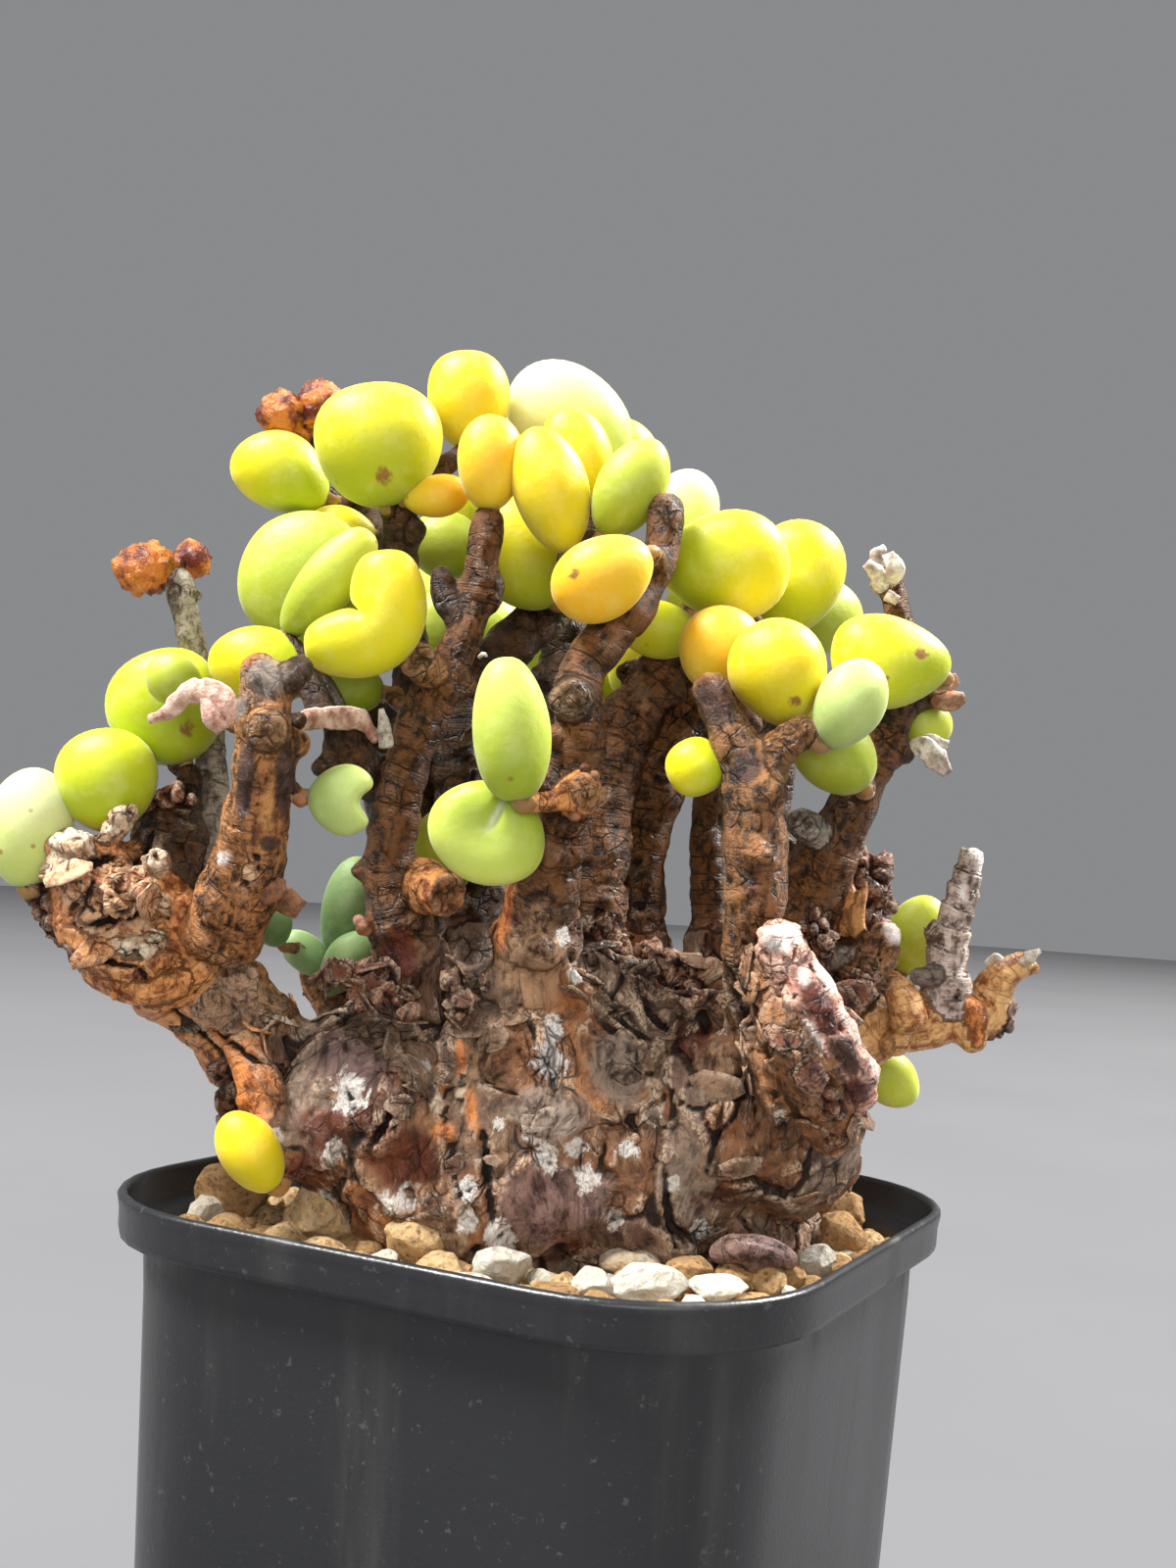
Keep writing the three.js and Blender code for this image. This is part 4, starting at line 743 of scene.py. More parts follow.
def plate_relief(points, local, on_lump, strength, loud, crumbs):
    """How far plates, cracks, folds and crumbs move each point, and the values that colour them."""
    bare = 1 - on_lump
    wander = np.stack([rough_noise(points, 3.6, 30 + 3 * k, 2) for k in range(3)], axis=1)
    around = local * np.array([1, 1, 1.3]) + 0.45 * wander
    ground = points * np.array([1, 1, 0.7]) + 0.9 * wander
    edge_stem, tone_stem, slant_stem = plates(around, STEM_PLATE, 3)
    edge_base, tone_base, slant_base = plates(ground, BASE_PLATE, 5)
    edge_small, tone_small, slant_small = plates(ground, SMALL_PLATE, 6)
    edge_crumb, tone_crumb, slant_crumb = plates(points + 0.3 * wander, CRUMB, 8)
    edge = edge_stem * STEM_PLATE * bare + edge_base * BASE_PLATE * on_lump
    crack = bell(edge, 0.2 + 0.1 * on_lump) * ramp(rough_noise(points, 5, 44), -0.35, 0.15)
    crack_small = bell(edge_small * SMALL_PLATE, 0.24) * on_lump
    crack_small *= ramp(rough_noise(points, 4, 45), 0.0, 0.4)
    folds = rough_noise(points * np.array([1, 1, 0.2]) + 0.5 * wander, 2.4, 52, 2)
    stem = 0.22 * (tone_stem - 0.5) + 0.3 * slant_stem - 0.22 * crack
    large = 0.7 * (tone_base - 0.5) + 1.4 * slant_base - 0.55 * crack
    small = 0.35 * (tone_small - 0.5) + 0.5 * slant_small - 0.25 * crack_small
    crumb = 0.9 * (tone_crumb - 0.5) + 1.1 * slant_crumb - 0.45 * bell(edge_crumb * CRUMB, 0.25)
    move = bare * strength * stem + on_lump * loud * (large + small + 0.55 * folds) + crumbs * crumb
    values = {
        "place": np.where(on_lump[:, None] > 0.5, ground, around),
        "tone": np.where(on_lump > 0.5, tone_base, tone_stem),
        "crack": np.clip(crack * (1 - 0.4 * bare) * loud + 0.6 * crack_small * loud, 0, 1),
    }
    return move, values


def ring_relief(points, turn, radius, rings, cups):
    """How far the rings of a stem move each point, and the values that colour them."""
    turn = turn + 0.3 * rough_noise(points, 3.8, 41, 2)
    between = np.abs(2 * (turn % 1) - 1)
    present = ramp(smooth_noise(points, 3.4, 43), -0.45, 0.35)
    ring = 0.2 * (0.75 - between ** 3) - 0.1 * bell(1 - between, 0.16) * present
    move = rings * np.clip(radius / 3, 0.45, 1.3) * present * ring + 0.4 * cups * (turn % 1 - 0.5)
    return move, {"turn": turn, "rings": np.clip(rings * present, 0, 1)}


def bark(points, faces, normals, skeleton):
    """Moves a plain wood skin into bark, and returns the values that colour it."""
    best, _ = skeleton.nearest(points)
    row = skeleton.rows[best]
    radius = row[:, RADIUS]
    own = row[:, TINT].astype(int)
    local, turn = skeleton.local(points, best)
    on_lump = 1 - ramp(lump_gap(points) + 1.2 * smooth_noise(points, 4, 21), 0.6, 5)
    bare = 1 - on_lump
    shares, spots, facing = tint_shares(points, normals, own, on_lump)
    tints = {key: shares @ np.array([each[key] for each in TINTS.values()]) for key in TINTS["plain"]}
    loud = 1 - tints["calm"]
    strength = (np.clip(radius / 5, 0.25, 1) * bare + on_lump) * loud
    scar = scar_reach(spots, facing)

    move, values = plate_relief(points, local, on_lump, strength, loud, tints["crumbs"])
    ring_move, ring_values = ring_relief(points, turn, radius, tints["rings"] * bare, tints["cups"] * bare)
    move += ring_move - 0.7 * tints["sink"] - 0.1 * strength
    move += 0.12 * rough_noise(points, 1.2, 50, 2) * (0.35 + 0.65 * strength)
    move += (0.45 * bare + 0.9 * on_lump) * rough_noise(points, 7, 60, 2) * strength
    move += (0.25 * bell(scar - 1, 0.25) - 0.3 * (1 - ramp(scar, 0.6, 0.9))) * bare

    patched = 1 - shares[:, TINT_NAMES.index("plain")] - shares[np.arange(len(points)), own] * bare
    values.update(ring_values)
    values.update({key: tints[key] for key in ("dark", "light", "grey", "gloss")})
    values.update({
        # cavity_shading: how far a point stands out from its smoothed surroundings; where low the bark is
        # painted dark as shade, where high it gets pale wear and painted highlight.
        "cavity_shading": np.clip(0.5 + move - blurred(move, faces, 12), 0, 1),
        "loud": loud,
        "scar": scar,
        "chalk": chalk_share(spots, facing),
        "base": on_lump * (1 - 0.85 * np.clip(patched, 0, 1)),
    })
    return points + normals * move[:, None], values


def knob_bodies(limbs, seed):
    """Small dormant buds and branch scars, round on the sides of the limbs."""
    random = np.random.default_rng(seed)
    bodies = []
    for _, limb in limbs:
        places, radii, run = limb_curve(limb, TUBE_STEP)
        along = np.gradient(places, axis=0)
        for _ in range(int(run[-1] / 9)):
            spot = random.integers(2, len(places) - 1)
            way = unit(np.cross(along[spot], random.normal(size=3)))
            size = random.uniform(0.22, 0.42) * radii[spot] + 0.35
            ball, faces = BALLS[2]
            bodies.append((places[spot] + way * (radii[spot] - 0.1) + ball * size, faces))
    return bodies


def wood_piece(limbs, lumps, seed):
    bodies = [limb_body(limb) for _, limb in limbs] + knob_bodies(limbs, seed)
    bodies += [lump_body(at, radii) for at, radii in lumps]
    points, faces, _ = merged([(p, f, {}) for p, f in bodies])
    points, faces, normals = voxel_union(points, faces, VOXEL)
    moved, values = bark(points, faces, normals, Skeleton(limbs))
    return (moved, faces, values), normals


def flake_body(spot, normal, up, reach, lift, random):
    """A thin curled flake of bark that stands off at one end: its points, faces and how near its rim."""
    sides = 9
    side = np.cross(up, normal)
    angles = 2 * math.pi * (np.arange(sides) + random.uniform(-0.3, 0.3, sides)) / sides
    outline = random.uniform(0.7, 1.15, sides)
    ring = np.stack([outline * np.cos(angles) * reach[0], outline * np.sin(angles) * reach[1]], axis=1)
    flat = np.vstack([[[0, 0]], 0.55 * ring, ring])
    rim = np.array([0] + [0.4] * sides + [1] * sides)
    height = lift * np.clip(0.5 + 0.5 * flat[:, 1] / reach[1], 0, 1) ** 1.5 - 0.05 * flat[:, 0] ** 2
    height += 0.12 * random.normal(size=len(flat)) * rim
    top = spot + np.outer(flat[:, 0], side) + np.outer(flat[:, 1], up) + np.outer(height + 0.08, normal)
    below = top - np.outer(0.3 - 0.12 * rim, normal)
    faces = []
    count = len(flat)
    for k in range(sides):
        after = (k + 1) % sides
        inner, inner_after = 1 + k, 1 + after
        outer, outer_after = 1 + sides + k, 1 + sides + after
        faces += [(0, inner_after, inner), (inner, inner_after, outer_after, outer)]
        faces += [(count, count + inner, count + inner_after)]
        faces += [(count + inner, count + outer, count + outer_after, count + inner_after)]
        faces += [(outer, outer_after, count + outer_after, count + outer)]
    return np.vstack([top, below]), faces, np.concatenate([rim, rim])


def bark_flakes(woods):
    """Flakes that lift off the wood, most of them where stems meet the base."""
    random = np.random.default_rng(23)
    parts = []
    for (points, _, values), normals, wanted, reach_range in woods:
        crotch = bell(points[:, 2] - CROTCH_HEIGHT, CROTCH_REACH) * (values["base"] < 0.8) + 0.1
        crotch = crotch * (values["gloss"] < 0.35)
        weights = crotch / crotch.sum()
        for spot in random.choice(len(points), wanted, p=weights):
            normal = normals[spot]
            up = np.array([0, 0, 1.0]) + random.normal(0, 0.5, 3)
            up = unit(up - normal * (up @ normal))
            if random.random() < 0.5:
                up = -up
            size = random.uniform(*reach_range)
            reach = size * np.array([random.uniform(0.9, 1.5), random.uniform(0.5, 0.9)])
            lift = random.uniform(0.15, 0.9)
            flake, faces, rim = flake_body(points[spot], normal, up, reach, lift, random)
            own = {"tone": random.random(), "scar": 2.0, "loud": 1.0}
            own.update({key: 0.0 for key in ("crack", "rings", "chalk")})
            own.update({key: values[key][spot] for key in ("grey", "gloss", "turn")})
            own.update({key: np.tile(values[key][spot], (len(flake), 1)) for key in ("dark", "light")})
            own["place"] = values["place"][spot] + flake - points[spot]
            own["base"] = 0.4 * values["base"][spot]
            # A high cavity_shading on the rims gives them pale wear and painted highlight.
            own["cavity_shading"] = 0.5 + 0.2 * rim
            parts.append((flake, faces, own))
    return merged(parts)


def make_wood():
    """The wood's three skins, each with the twigs that its limbs bear, and the flakes on them. How many
    flakes a skin has also seeds its knobs."""
    twigs = leaf_twigs()
    first = 0
    woods = []
    for name, limbs, lumps, flakes, reach_range in (
        ("wood_base", BASE_LIMBS, LUMPS, 300, (0.9, 2.4)),
        ("wood_stems_left", LEFT_LIMBS, [], 130, (0.7, 1.5)),
        ("wood_stems_right", RIGHT_LIMBS, [], 170, (0.7, 1.6)),
    ):
        own_twigs = [twig for host, twig in twigs if first <= host < first + len(limbs)]
        first += len(limbs)
        part, normals = wood_piece(limbs + own_twigs, lumps, flakes)
        add_piece(name, part, MATERIALS["bark"], "bark", "caudex_and_stems")
        woods.append((part, normals, flakes, reach_range))
    add_piece("wood_flakes", bark_flakes(woods), MATERIALS["bark"], "bark", "caudex_and_stems")


# The leaves: middle, size as length, width and thickness, lean of the tip clockwise from upright, and how
# each is coloured and shaped.

def plump(at, size, lean, colour=None, **more):
    return {"at": at, "size": size, "lean": lean, "colour": colour, **more}


LEAVES = [
    plump((-57, -4.6, -9), (12.4, 8.6, 7), 8, "pale"),
    plump((-49.2, 0.4, -8), (10.6, 10.4, 8), -8, "lime", look="spring"),
    plump((-43, 7.8, -4), (12.4, 11.8, 8.5), -20, "lime", look="spring", scar=(0.35, -0.5)),
    plump((-42.2, 10.6, -12), (6, 5.4, 4.6), -60, "green"),
    plump((-31.3, 31.6, 2), (10.6, 8, 6.8), -62, "lime", bend=0.15),
    plump((-21.5, 34.7, -3), (12.8, 13, 9.5), -6, "lime", scar=(0.1, -0.62)),
    plump((-12.2, 39.2, 2), (10, 8.4, 7.4), 0, "yellow", blunt=0.75),
    plump((-1.8, 37.4, 6), (14, 10, 8.6), -58, "pale"),
    plump((-10, 32.7, -8), (10, 6.9, 6.8), 0, "amber"),
    plump((-3.8, 29.8, -9), (13.2, 7.7, 7), -16, "yellow"),
    plump((-1, 33.4, -1), (10.5, 7, 6), -24, "yellow"),
    plump((4.2, 30, -10), (11.2, 7, 6.6), 30, "green"),
    plump((1.5, 21.1, -17), (11, 8.4, 7.4), -118, "amber", scar=(0.3, 0.45)),
    plump((-15.5, 29.4, -3), (6.8, 4.4, 4), 80, "amber"),
    plump((-25.3, 25.9, 2), (7.4, 5, 4.8), -82, "yellow"),
    plump((-28.5, 20.3, 0), (15, 14.4, 8.5), -30, "green", detail=5),
    plump((-26.6, 20.4, -8), (13.6, 5.8, 5.4), 40, "green", blunt=0.8, detail=5),
    plump((-21.3, 15.8, -14), (16, 8.2, 7.4), 42, "yellow", hook=1.6, blunt=0.6, look="lemon", detail=5),
    plump((-14.2, 24.2, 9), (8.6, 7, 6), -70, "green"),
    plump((-13.4, 27.4, 15), (8, 6, 5.6), -40, "lime"),
    plump((-6.4, 23.6, 1), (12.6, 11, 8), -28, "lime"),
    plump((-25, 9.8, -5), (8.8, 6.2, 5.6), -84, "green"),
    plump((-33, 12, -8), (11.4, 8, 6.8), -80, "lime"),
    plump((-15, 15, 15), (9.4, 7.6, 6.4), -10, "green"),
    plump((-25, -1.6, -18), (7.4, 7.4, 4.6), 97, "jade", notch=0.58, detail=5),
    # leaf_26 takes the darker sea look, which paints the shade it lies in.
    plump((-32.3, -14.2, 3), (5, 4.2, 3.8), -20, "green", look="sea"),
    plump((-7.9, 5.5, -22), (14.8, 8, 7), -5, "lime", look="fresh", blunt=0.72, taper=-0.06),
    plump((-10.2, -4.8, -19), (10.6, 12.4, 6.6), -152, "lime", look="fresh", cup=0.3, groove=0.4,
         detail=5),
    plump((-14.6, -7, 0), (8.8, 6.8, 6), -8, "green"),
    plump((-3.6, 11.8, 19), (8.6, 6.8, 6), 14, "green"),
    plump((5.5, 11.2, 18), (8, 6.6, 5.6), -15, "lime"),
    plump((7.4, 15.7, -4), (8.6, 5.8, 5.2), -76, "lime"),
    plump((9.8, 27.4, 2), (9.4, 7, 6.4), 14, "pale"),
    plump((14.2, 22.4, -6), (13.2, 11.4, 9), 84, "lime"),
    plump((21.3, 21.2, 2), (11.6, 9.6, 8), 12, "lime"),
    plump((13.4, 13.7, -11), (9.2, 8.6, 7), 6, "amber"),
    plump((19.5, 11.5, -17), (11.2, 10, 8), -12, "yellow", scar=(0.1, -0.6)),
    plump((11.1, 1.7, -19), (6.4, 6, 5.2), -74, "lime"),
    plump((26.6, 8.1, -20), (9.8, 7, 6.6), 28, "pale", look="jade"),
    plump((25.2, 3.2, -13), (9.8, 8, 7), -40, "green"),
    plump((30.7, 12.6, -9), (12.6, 9.4, 8), -74, "lime", bend=-0.2, scar=(0.3, -0.4)),
    plump((34, 6.4, -1), (6.6, 5, 4.4), 118, "green"),
    plump((33.6, -15.4, 8), (8.4, 6.2, 5.4), 20, "lime", look="green"),
    plump((30.4, -29.8, 8), (7.6, 5.4, 4.8), 130, "lime", look="green"),
    plump((-34.4, -37.7, -16), (9.2, 6.1, 5.6), -32, "yellow"),
]

LOW_TUFT = [
    plump((-24.4, -12.6, 6), (10.8, 5.6, 5), 14),
    plump((-24.6, -18.2, 4), (7.6, 4.6, 4.2), 33),
    plump((-28.6, -17.4, 7), (6.6, 3.8, 3.4), -52),
]

LOW_TUFT_HEART = (-26.2, -20, 5)

BACK_TUFTS = [
    ("leaf_tuft_back_crown", (-1.5, 33.5, 11), 8.5, "lime"),
    ("leaf_tuft_back_right", (18, 16.5, 13), 10, "green"),
    ("leaf_tuft_back_middle", (-3, 11, 26), 10.4, "lime"),
    ("leaf_tuft_back_left", (-17, 15, 26), 10.6, "green"),
    ("leaf_tuft_back_far", (10, 11, 28), 10.5, "yellow"),
]

WITHERED = {
    "withered_leaves_left": [
        plump((-45.1, 22, 0), (7.2, 5.8, 5.4), -100),
        plump((-40.6, 22.8, 2), (4.6, 4.2, 4.2), 60),
    ],
    "withered_leaves_crown": [
        plump((-31.2, 37.6, 3), (5.4, 5, 4.6), -50),
        plump((-27.5, 38.6, 4), (6, 5, 4.8), 20),
    ],
}


def leaf_turn(leaf):
    """The turn from a leaf's own axes, length up and face to the eye, to the way it stands."""
    nod = math.radians(leaf.get("nod", 0))
    return STANDING @ rotation(-math.radians(leaf["lean"]), "z") @ rotation(nod, "x")


def leaf_body(leaf, seed, wrinkle=0.0):
    """A plump leaf, and for its colour how far along each point lies and how near a scar."""
    ball, faces = BALLS[leaf.get("detail", 4)]
    x, y, z = ball.T
    length, width, thickness = (size * scale_at(leaf["at"][2]) / 2 for size in leaf["size"])
    round_end = np.sqrt(1 - np.clip(y * y, 0, 0.9999)) ** (leaf.get("blunt", 1) - 1)
    broad = (1 + leaf.get("taper", 0.1) * y - 0.06 * y * y) * round_end
    lopsided = 1 + 0.045 * smooth_noise(ball, 0.9, seed)
    shrink = 1 + wrinkle * (np.abs(rough_noise(ball * 3, 1.1, seed, 3)) * 2.2 - 0.9)
    dent = leaf.get("notch", 0) * bell(x, 0.4) * np.maximum(0, y) ** 2
    hollow = leaf.get("cup", 0) * np.exp(-(x ** 2 + y ** 2) / 0.3) * np.maximum(0, z)
    hollow += leaf.get("groove", 0) * bell(x, 0.1) * np.maximum(0, z) * ramp(-y, -0.1, 0.5)
    local = np.stack([
        (x * broad + leaf.get("bend", 0) * (0.35 - y * y)) * width,
        (y - dent) * length,
        (z * round_end - hollow) * thickness,
    ], axis=1) * (lopsided * shrink)[:, None]
    if "hook" in leaf:
        local = hooked(local, length, leaf["hook"])
    values = {"along": (y + 1) / 2, "scar": 0.0, "crease": 0.0}
    if "scar" in leaf:
        scar_x, scar_y = leaf["scar"]
        values["scar"] = np.exp(-((x - scar_x) ** 2 + (y - scar_y) ** 2) / 0.03) * (z > 0)
    if "groove" in leaf:
        values["crease"] = bell(x, 0.06) * (z > 0) * ramp(-y, -0.1, 0.2)
    return local @ leaf_turn(leaf).T + seen(leaf["at"]), faces, values


def hooked(local, length, angle):
    """A body whose length is bent in its middle by angle, to its left."""
    run = np.linspace(-1.2, 1.2, 97) * length
    heading = angle / 2 * np.tanh(run / (0.3 * length))
    step = run[1] - run[0]
    middle = np.stack([-np.sin(heading), np.cos(heading)], axis=1)
    spine = np.cumsum(middle, axis=0) * step
    spine -= spine[len(run) // 2]
    at = [np.interp(local[:, 1], run, numbers) for numbers in (spine[:, 0], spine[:, 1], heading)]
    inner = np.where(local[:, 0] < 0, 1 - 0.3 * bell(local[:, 1], 0.3 * length), 1)
    across = local[:, 0] * inner
    return np.stack([at[0] + across * np.cos(at[2]), at[1] + across * np.sin(at[2]), local[:, 2]], axis=1)


def stalk_body(start, base, end, radius):
    """A short stalk that leaves the leaf along its length and bends to the wood."""
    t = np.linspace(0, 1, 14)[:, None]
    bend = base + (base - start) * 0.5
    path = start * (1 - t) ** 2 + 2 * bend * t * (1 - t) + end * t ** 2
    radii = radius * (1 + 0.35 * np.abs(2 * t[:, 0] - 1) ** 2)
    points, faces = tube(path, radii, 12)
    return points, faces, {"along": -0.2, "scar": 0.0, "crease": 0.0}


def leaf_base(leaf):
    """Where a leaf's stalk leaves it: its lower end, or the back of a hooked leaf."""
    reach = leaf["size"][0] * scale_at(leaf["at"][2]) / 2
    if "hook" in leaf:
        return seen(leaf["at"]) - 0.5 * reach * TO_EYE
    return seen(leaf["at"]) - reach * leaf_turn(leaf)[:, 1]


def leaf_part(leaf, seed, heart=None, wrinkle=0.0):
    middle = seen(leaf["at"])
    base = leaf_base(leaf)
    best, _ = ALL_LIMBS.nearest(base[None])
    wood = ALL_LIMBS.rows[best[0], PLACE]
    end = base + (wood - base) * min(1, 1.3 / np.linalg.norm(wood - base)) if heart is None else heart
    radius = min(0.75, 0.085 * leaf["size"][0])
    return [leaf_body(leaf, seed, wrinkle), stalk_body(middle + (base - middle) * 0.6, base, end, radius)]


def back_tuft(heart, length):
    """Three leaves that spread from their heart, upwards and away from the eye."""
    leaves = []
    for lean, nod in ((-80, -20), (5, -60), (85, -25)):
        reach = STANDING.T @ leaf_turn({"lean": lean, "nod": nod})[:, 1] * 0.6 * length
        at = (heart[0] + reach[0], heart[1] + reach[1], heart[2] - reach[2])
        leaves.append(plump(at, (length, 0.78 * length, 0.66 * length), lean, nod=nod))
    return leaves


def tuft_part(heart, leaves, seed):
    middle = seen(heart)
    return merged([part for k, leaf in enumerate(leaves) for part in leaf_part(leaf, seed + k, middle)])


def leaf_twigs():
    """For each leaf or tuft, the number of the limb that bears it and the twig from that limb to it."""
    tufts = [(LOW_TUFT_HEART, 1.5)] + [(heart, 1.3) for _, heart, _, _ in BACK_TUFTS]
    ends = [(leaf_base(leaf), min(1.35, 0.12 * leaf["size"][0])) for leaf in LEAVES]
    ends += [(seen(heart), radius) for heart, radius in tufts]
    twigs = []
    for end, radius in ends:
        best, _ = ALL_LIMBS.nearest(end[None])
        row = ALL_LIMBS.rows[best[0]]
        host = int(row[LIMB])
        start = row[PLACE]
        half = (start + end) / 2 + 0.12 * (end - start)[::-1] * np.array([1, -1, 1])
        spots = unseen(np.stack([start, half, end]))
        twig = [[*spot, share * radius] for spot, share in zip(spots, (1.25, 0.95, 0.85))]
        twigs.append((host, (ALL_LIMBS.limbs[host][0], twig)))
    return twigs


def make_leaves():
    for number, leaf in enumerate(LEAVES, start=1):
        name = f"leaf_{number:02d}"
        part = merged(leaf_part(leaf, number))
        look = MATERIALS[leaf.get("look", leaf["colour"])]
        add_piece(f"plump_{name}", part, look, f"leaf_{leaf['colour']}", name)
    part = tuft_part(LOW_TUFT_HEART, LOW_TUFT, 80)
    add_piece("plump_tuft_low_left", part, MATERIALS["sea"], "leaf_jade", "leaf_tuft_low_left")
    for number, (node, heart, length, colour) in enumerate(BACK_TUFTS):
        part = tuft_part(heart, back_tuft(heart, length), 90 + 5 * number)
        add_piece(node.replace("leaf_", "plump_"), part, MATERIALS[colour], f"leaf_{colour}", node)
    for number, (node, leaves) in enumerate(WITHERED.items()):
        parts = []
        for k, leaf in enumerate(leaves):
            parts += leaf_part(leaf, 120 + 7 * number + k, wrinkle=0.17)
        add_piece(f"dry_{node}", merged(parts), MATERIALS["withered"], "withered_leaf", node)


# Dry, papery scraps. A strip is a path of [across, up, back, half width]; its tint is how it is coloured.

CURL_STRIPS = [
    ("rosy", [[-36, 6.6, -19, 1.2], [-37.2, 8.4, -19, 1.5], [-39, 9.6, -18.4, 1.5],
              [-41.2, 9.2, -17.4, 1.4], [-43, 7.4, -16.6, 1.1], [-44.9, 6.6, -16, 0.5]]),
    ("rosy", [[-39, 9.2, -18, 1], [-38.6, 7.4, -19, 1.3], [-37.4, 5.4, -19, 1]]),
]

RIGHT_STRIPS = [
    ("pale", [[32.6, 3.2, -4.4, 0.6], [34, 3.8, -6, 1.2], [35.6, 2.6, -6.8, 1.4], [36.8, 1, -6.4, 0.7]]),
    ("pale", [[33.6, 3.4, -5, 0.7], [35, 4.4, -5, 0.9], [36.8, 4, -5, 0.5]]),
]

WOOD_STRIPS = [
    ("rosy", [[-30, 6.2, -15, 1.1], [-28.4, 6.6, -14, 1.35], [-25.6, 6.8, -12, 1.45],
              [-23.4, 6.5, -10.8, 1.3], [-22.2, 5.4, -10.4, 0.8], [-21.4, 4.4, -10, 0.5]]),
    ("pale", [[-20.6, 3.6, -10.5, 0.8], [-20.8, 5.8, -11, 0.8], [-21.1, 7.7, -11, 0.25]]),
    ("rusty", [[-35.4, -9.4, -15, 1.4], [-33.2, -10.8, -16, 2], [-30.8, -10.4, -16, 0.8]]),
    ("rusty", [[-31.4, -11.6, -11, 1.6], [-29.4, -13, -11, 1.2]]),
    ("pale", [[44.2, -18.6, -3.8, 0.6], [45.2, -17.6, -4.4, 0.8], [46.2, -17, -4.4, 0.3]]),
    ("pale", [[40.6, -18.4, -4, 0.4], [41.6, -17.7, -4.4, 0.5], [42.4, -17.9, -4.4, 0.3]]),
    ("pale", [[30.2, 19.6, -4, 0.8], [29.4, 21.6, -5, 1.2], [28.4, 22.6, -5, 0.6]]),
    ("pale", [[30.6, 20.4, -4.4, 0.8], [31.4, 22, -5.4, 1.1], [30.6, 23.6, -5, 0.7]]),
    ("pale", [[30.4, 21.4, -3, 0.7], [29.6, 23.4, -3.4, 0.9], [30.4, 24.2, -3, 0.4]]),
    ("pale", [[30.4, 19.4, -4.6, 0.8], [31.6, 18.8, -5, 0.7]]),
    ("rusty", [[34.4, 8.6, -4, 0.8], [36, 9.8, -5, 1.2], [37.8, 10.8, -5, 0.6]]),
    ("rusty", [[35, 8.8, -4.4, 0.8], [36.8, 8.4, -5.4, 1.2], [38.6, 8.8, -5, 0.7]]),
    ("pale", [[-11.2, 12.8, -11.4, 0.2], [-10.7, 13.3, -11.8, 0.28], [-10.3, 13, -11.8, 0.15]]),
]

# Small round buds: tint, place and radius.
BUDS = [
    ("rusty", (-29.3, -1.5, -18), 0.9), ("rusty", (-22.8, -14.6, -10), 0.95),
    ("rosy", (-23.4, -13.9, -10), 0.6), ("rusty", (-1.4, -3.2, -18), 0.7),
    ("rusty", (0.6, 0.8, -18), 0.6), ("rusty", (-0.4, 1.6, -18), 0.5),
]

SCRAP_TINTS = {"rosy": 0.2, "pale": 0.5, "rusty": 0.75}
STRIP_THICKNESS = 0.22
STRIP_STEP = 0.3


def strip_body(tint, path, seed):
    """A thin dry strip along a path, rolled across its width and crumpled."""
    places, halves, run = limb_curve(path, STRIP_STEP)
    along = unit(np.gradient(places, axis=0))
    side = unit(np.cross(along, TO_EYE))
    forward = np.cross(side, along)
    share = np.linspace(-1, 1, 11)
    roll = 0.8 + 0.5 * smooth_noise(places, 3, 200 + seed)
    angle = share[None, :] * roll[:, None]
    ragged = 1 + 0.25 * rough_noise(places, 0.9, 210 + seed, 2)
    reach = (halves * ragged / roll)[:, None, None]
    cos, sin = np.cos(angle)[..., None], np.sin(angle)[..., None]
    grid = places[:, None] + reach * (side[:, None] * sin + forward[:, None] * (cos - 1))
    flat = grid.reshape(-1, 3)
    crumple = 0.35 * rough_noise(flat, 1.6, 220 + seed, 3)
    normal = (side[:, None] * sin + forward[:, None] * cos).reshape(-1, 3)
    front = (flat + normal * crumple[:, None]).reshape(grid.shape)
    back = (flat + normal * (crumple - STRIP_THICKNESS)[:, None]).reshape(grid.shape)
    rings = np.concatenate([front, back[:, ::-1]], axis=1)
    points, faces = skin(rings, front[0].mean(axis=0), front[-1].mean(axis=0))
    rim = np.tile(np.abs(np.concatenate([share, share])), len(places))
    return points, faces, {"scrap": SCRAP_TINTS[tint], "rim": np.concatenate([rim, [1, 1]])}


def bud_body(tint, at, radius, seed):
    ball, faces = BALLS[4]
    wrinkled = ball * (1 + 0.16 * rough_noise(ball * 2, 0.9, seed, 3))[:, None]
    return seen(at) + wrinkled * radius * scale_at(at[2]), faces, {"scrap": SCRAP_TINTS[tint], "rim": 0.4}


def make_scraps():
    for name, strips, node in (("papery_curl", CURL_STRIPS, "withered_curl_left"),
                               ("papery_leaf", RIGHT_STRIPS, "withered_leaf_right")):
        parts = [strip_body(tint, path, number) for number, (tint, path) in enumerate(strips)]
        add_piece(name, merged(parts), MATERIALS["scraps"], "withered_leaf", node)
    parts = [strip_body(tint, path, 20 + number) for number, (tint, path) in enumerate(WOOD_STRIPS)]
    parts += [bud_body(*bud, 60 + number) for number, bud in enumerate(BUDS)]
    add_piece("papery_scraps", merged(parts), MATERIALS["scraps"], "bark", "caudex_and_stems")


# The pot

ARC_STEPS = 10
SIDE_STEPS = 6


def rounded_square(half, corner):
    """Points round a square with round corners, as (x, y)."""
    inner = half - corner
    ring = []
    for quarter, (x, y) in enumerate(((1, 1), (-1, 1), (-1, -1), (1, -1))):
        angles = math.pi / 2 * (quarter + np.linspace(0, 1, ARC_STEPS))
        arc = np.stack([x * inner + corner * np.cos(angles), y * inner + corner * np.sin(angles)], axis=1)
        ring.append(arc)
    whole = []
    for k, arc in enumerate(ring):
        after = ring[(k + 1) % 4][0]
        t = np.linspace(0, 1, SIDE_STEPS + 1, endpoint=False)[1:, None]
        whole += [arc, arc[-1] + (after - arc[-1]) * t]
    return np.vstack(whole)


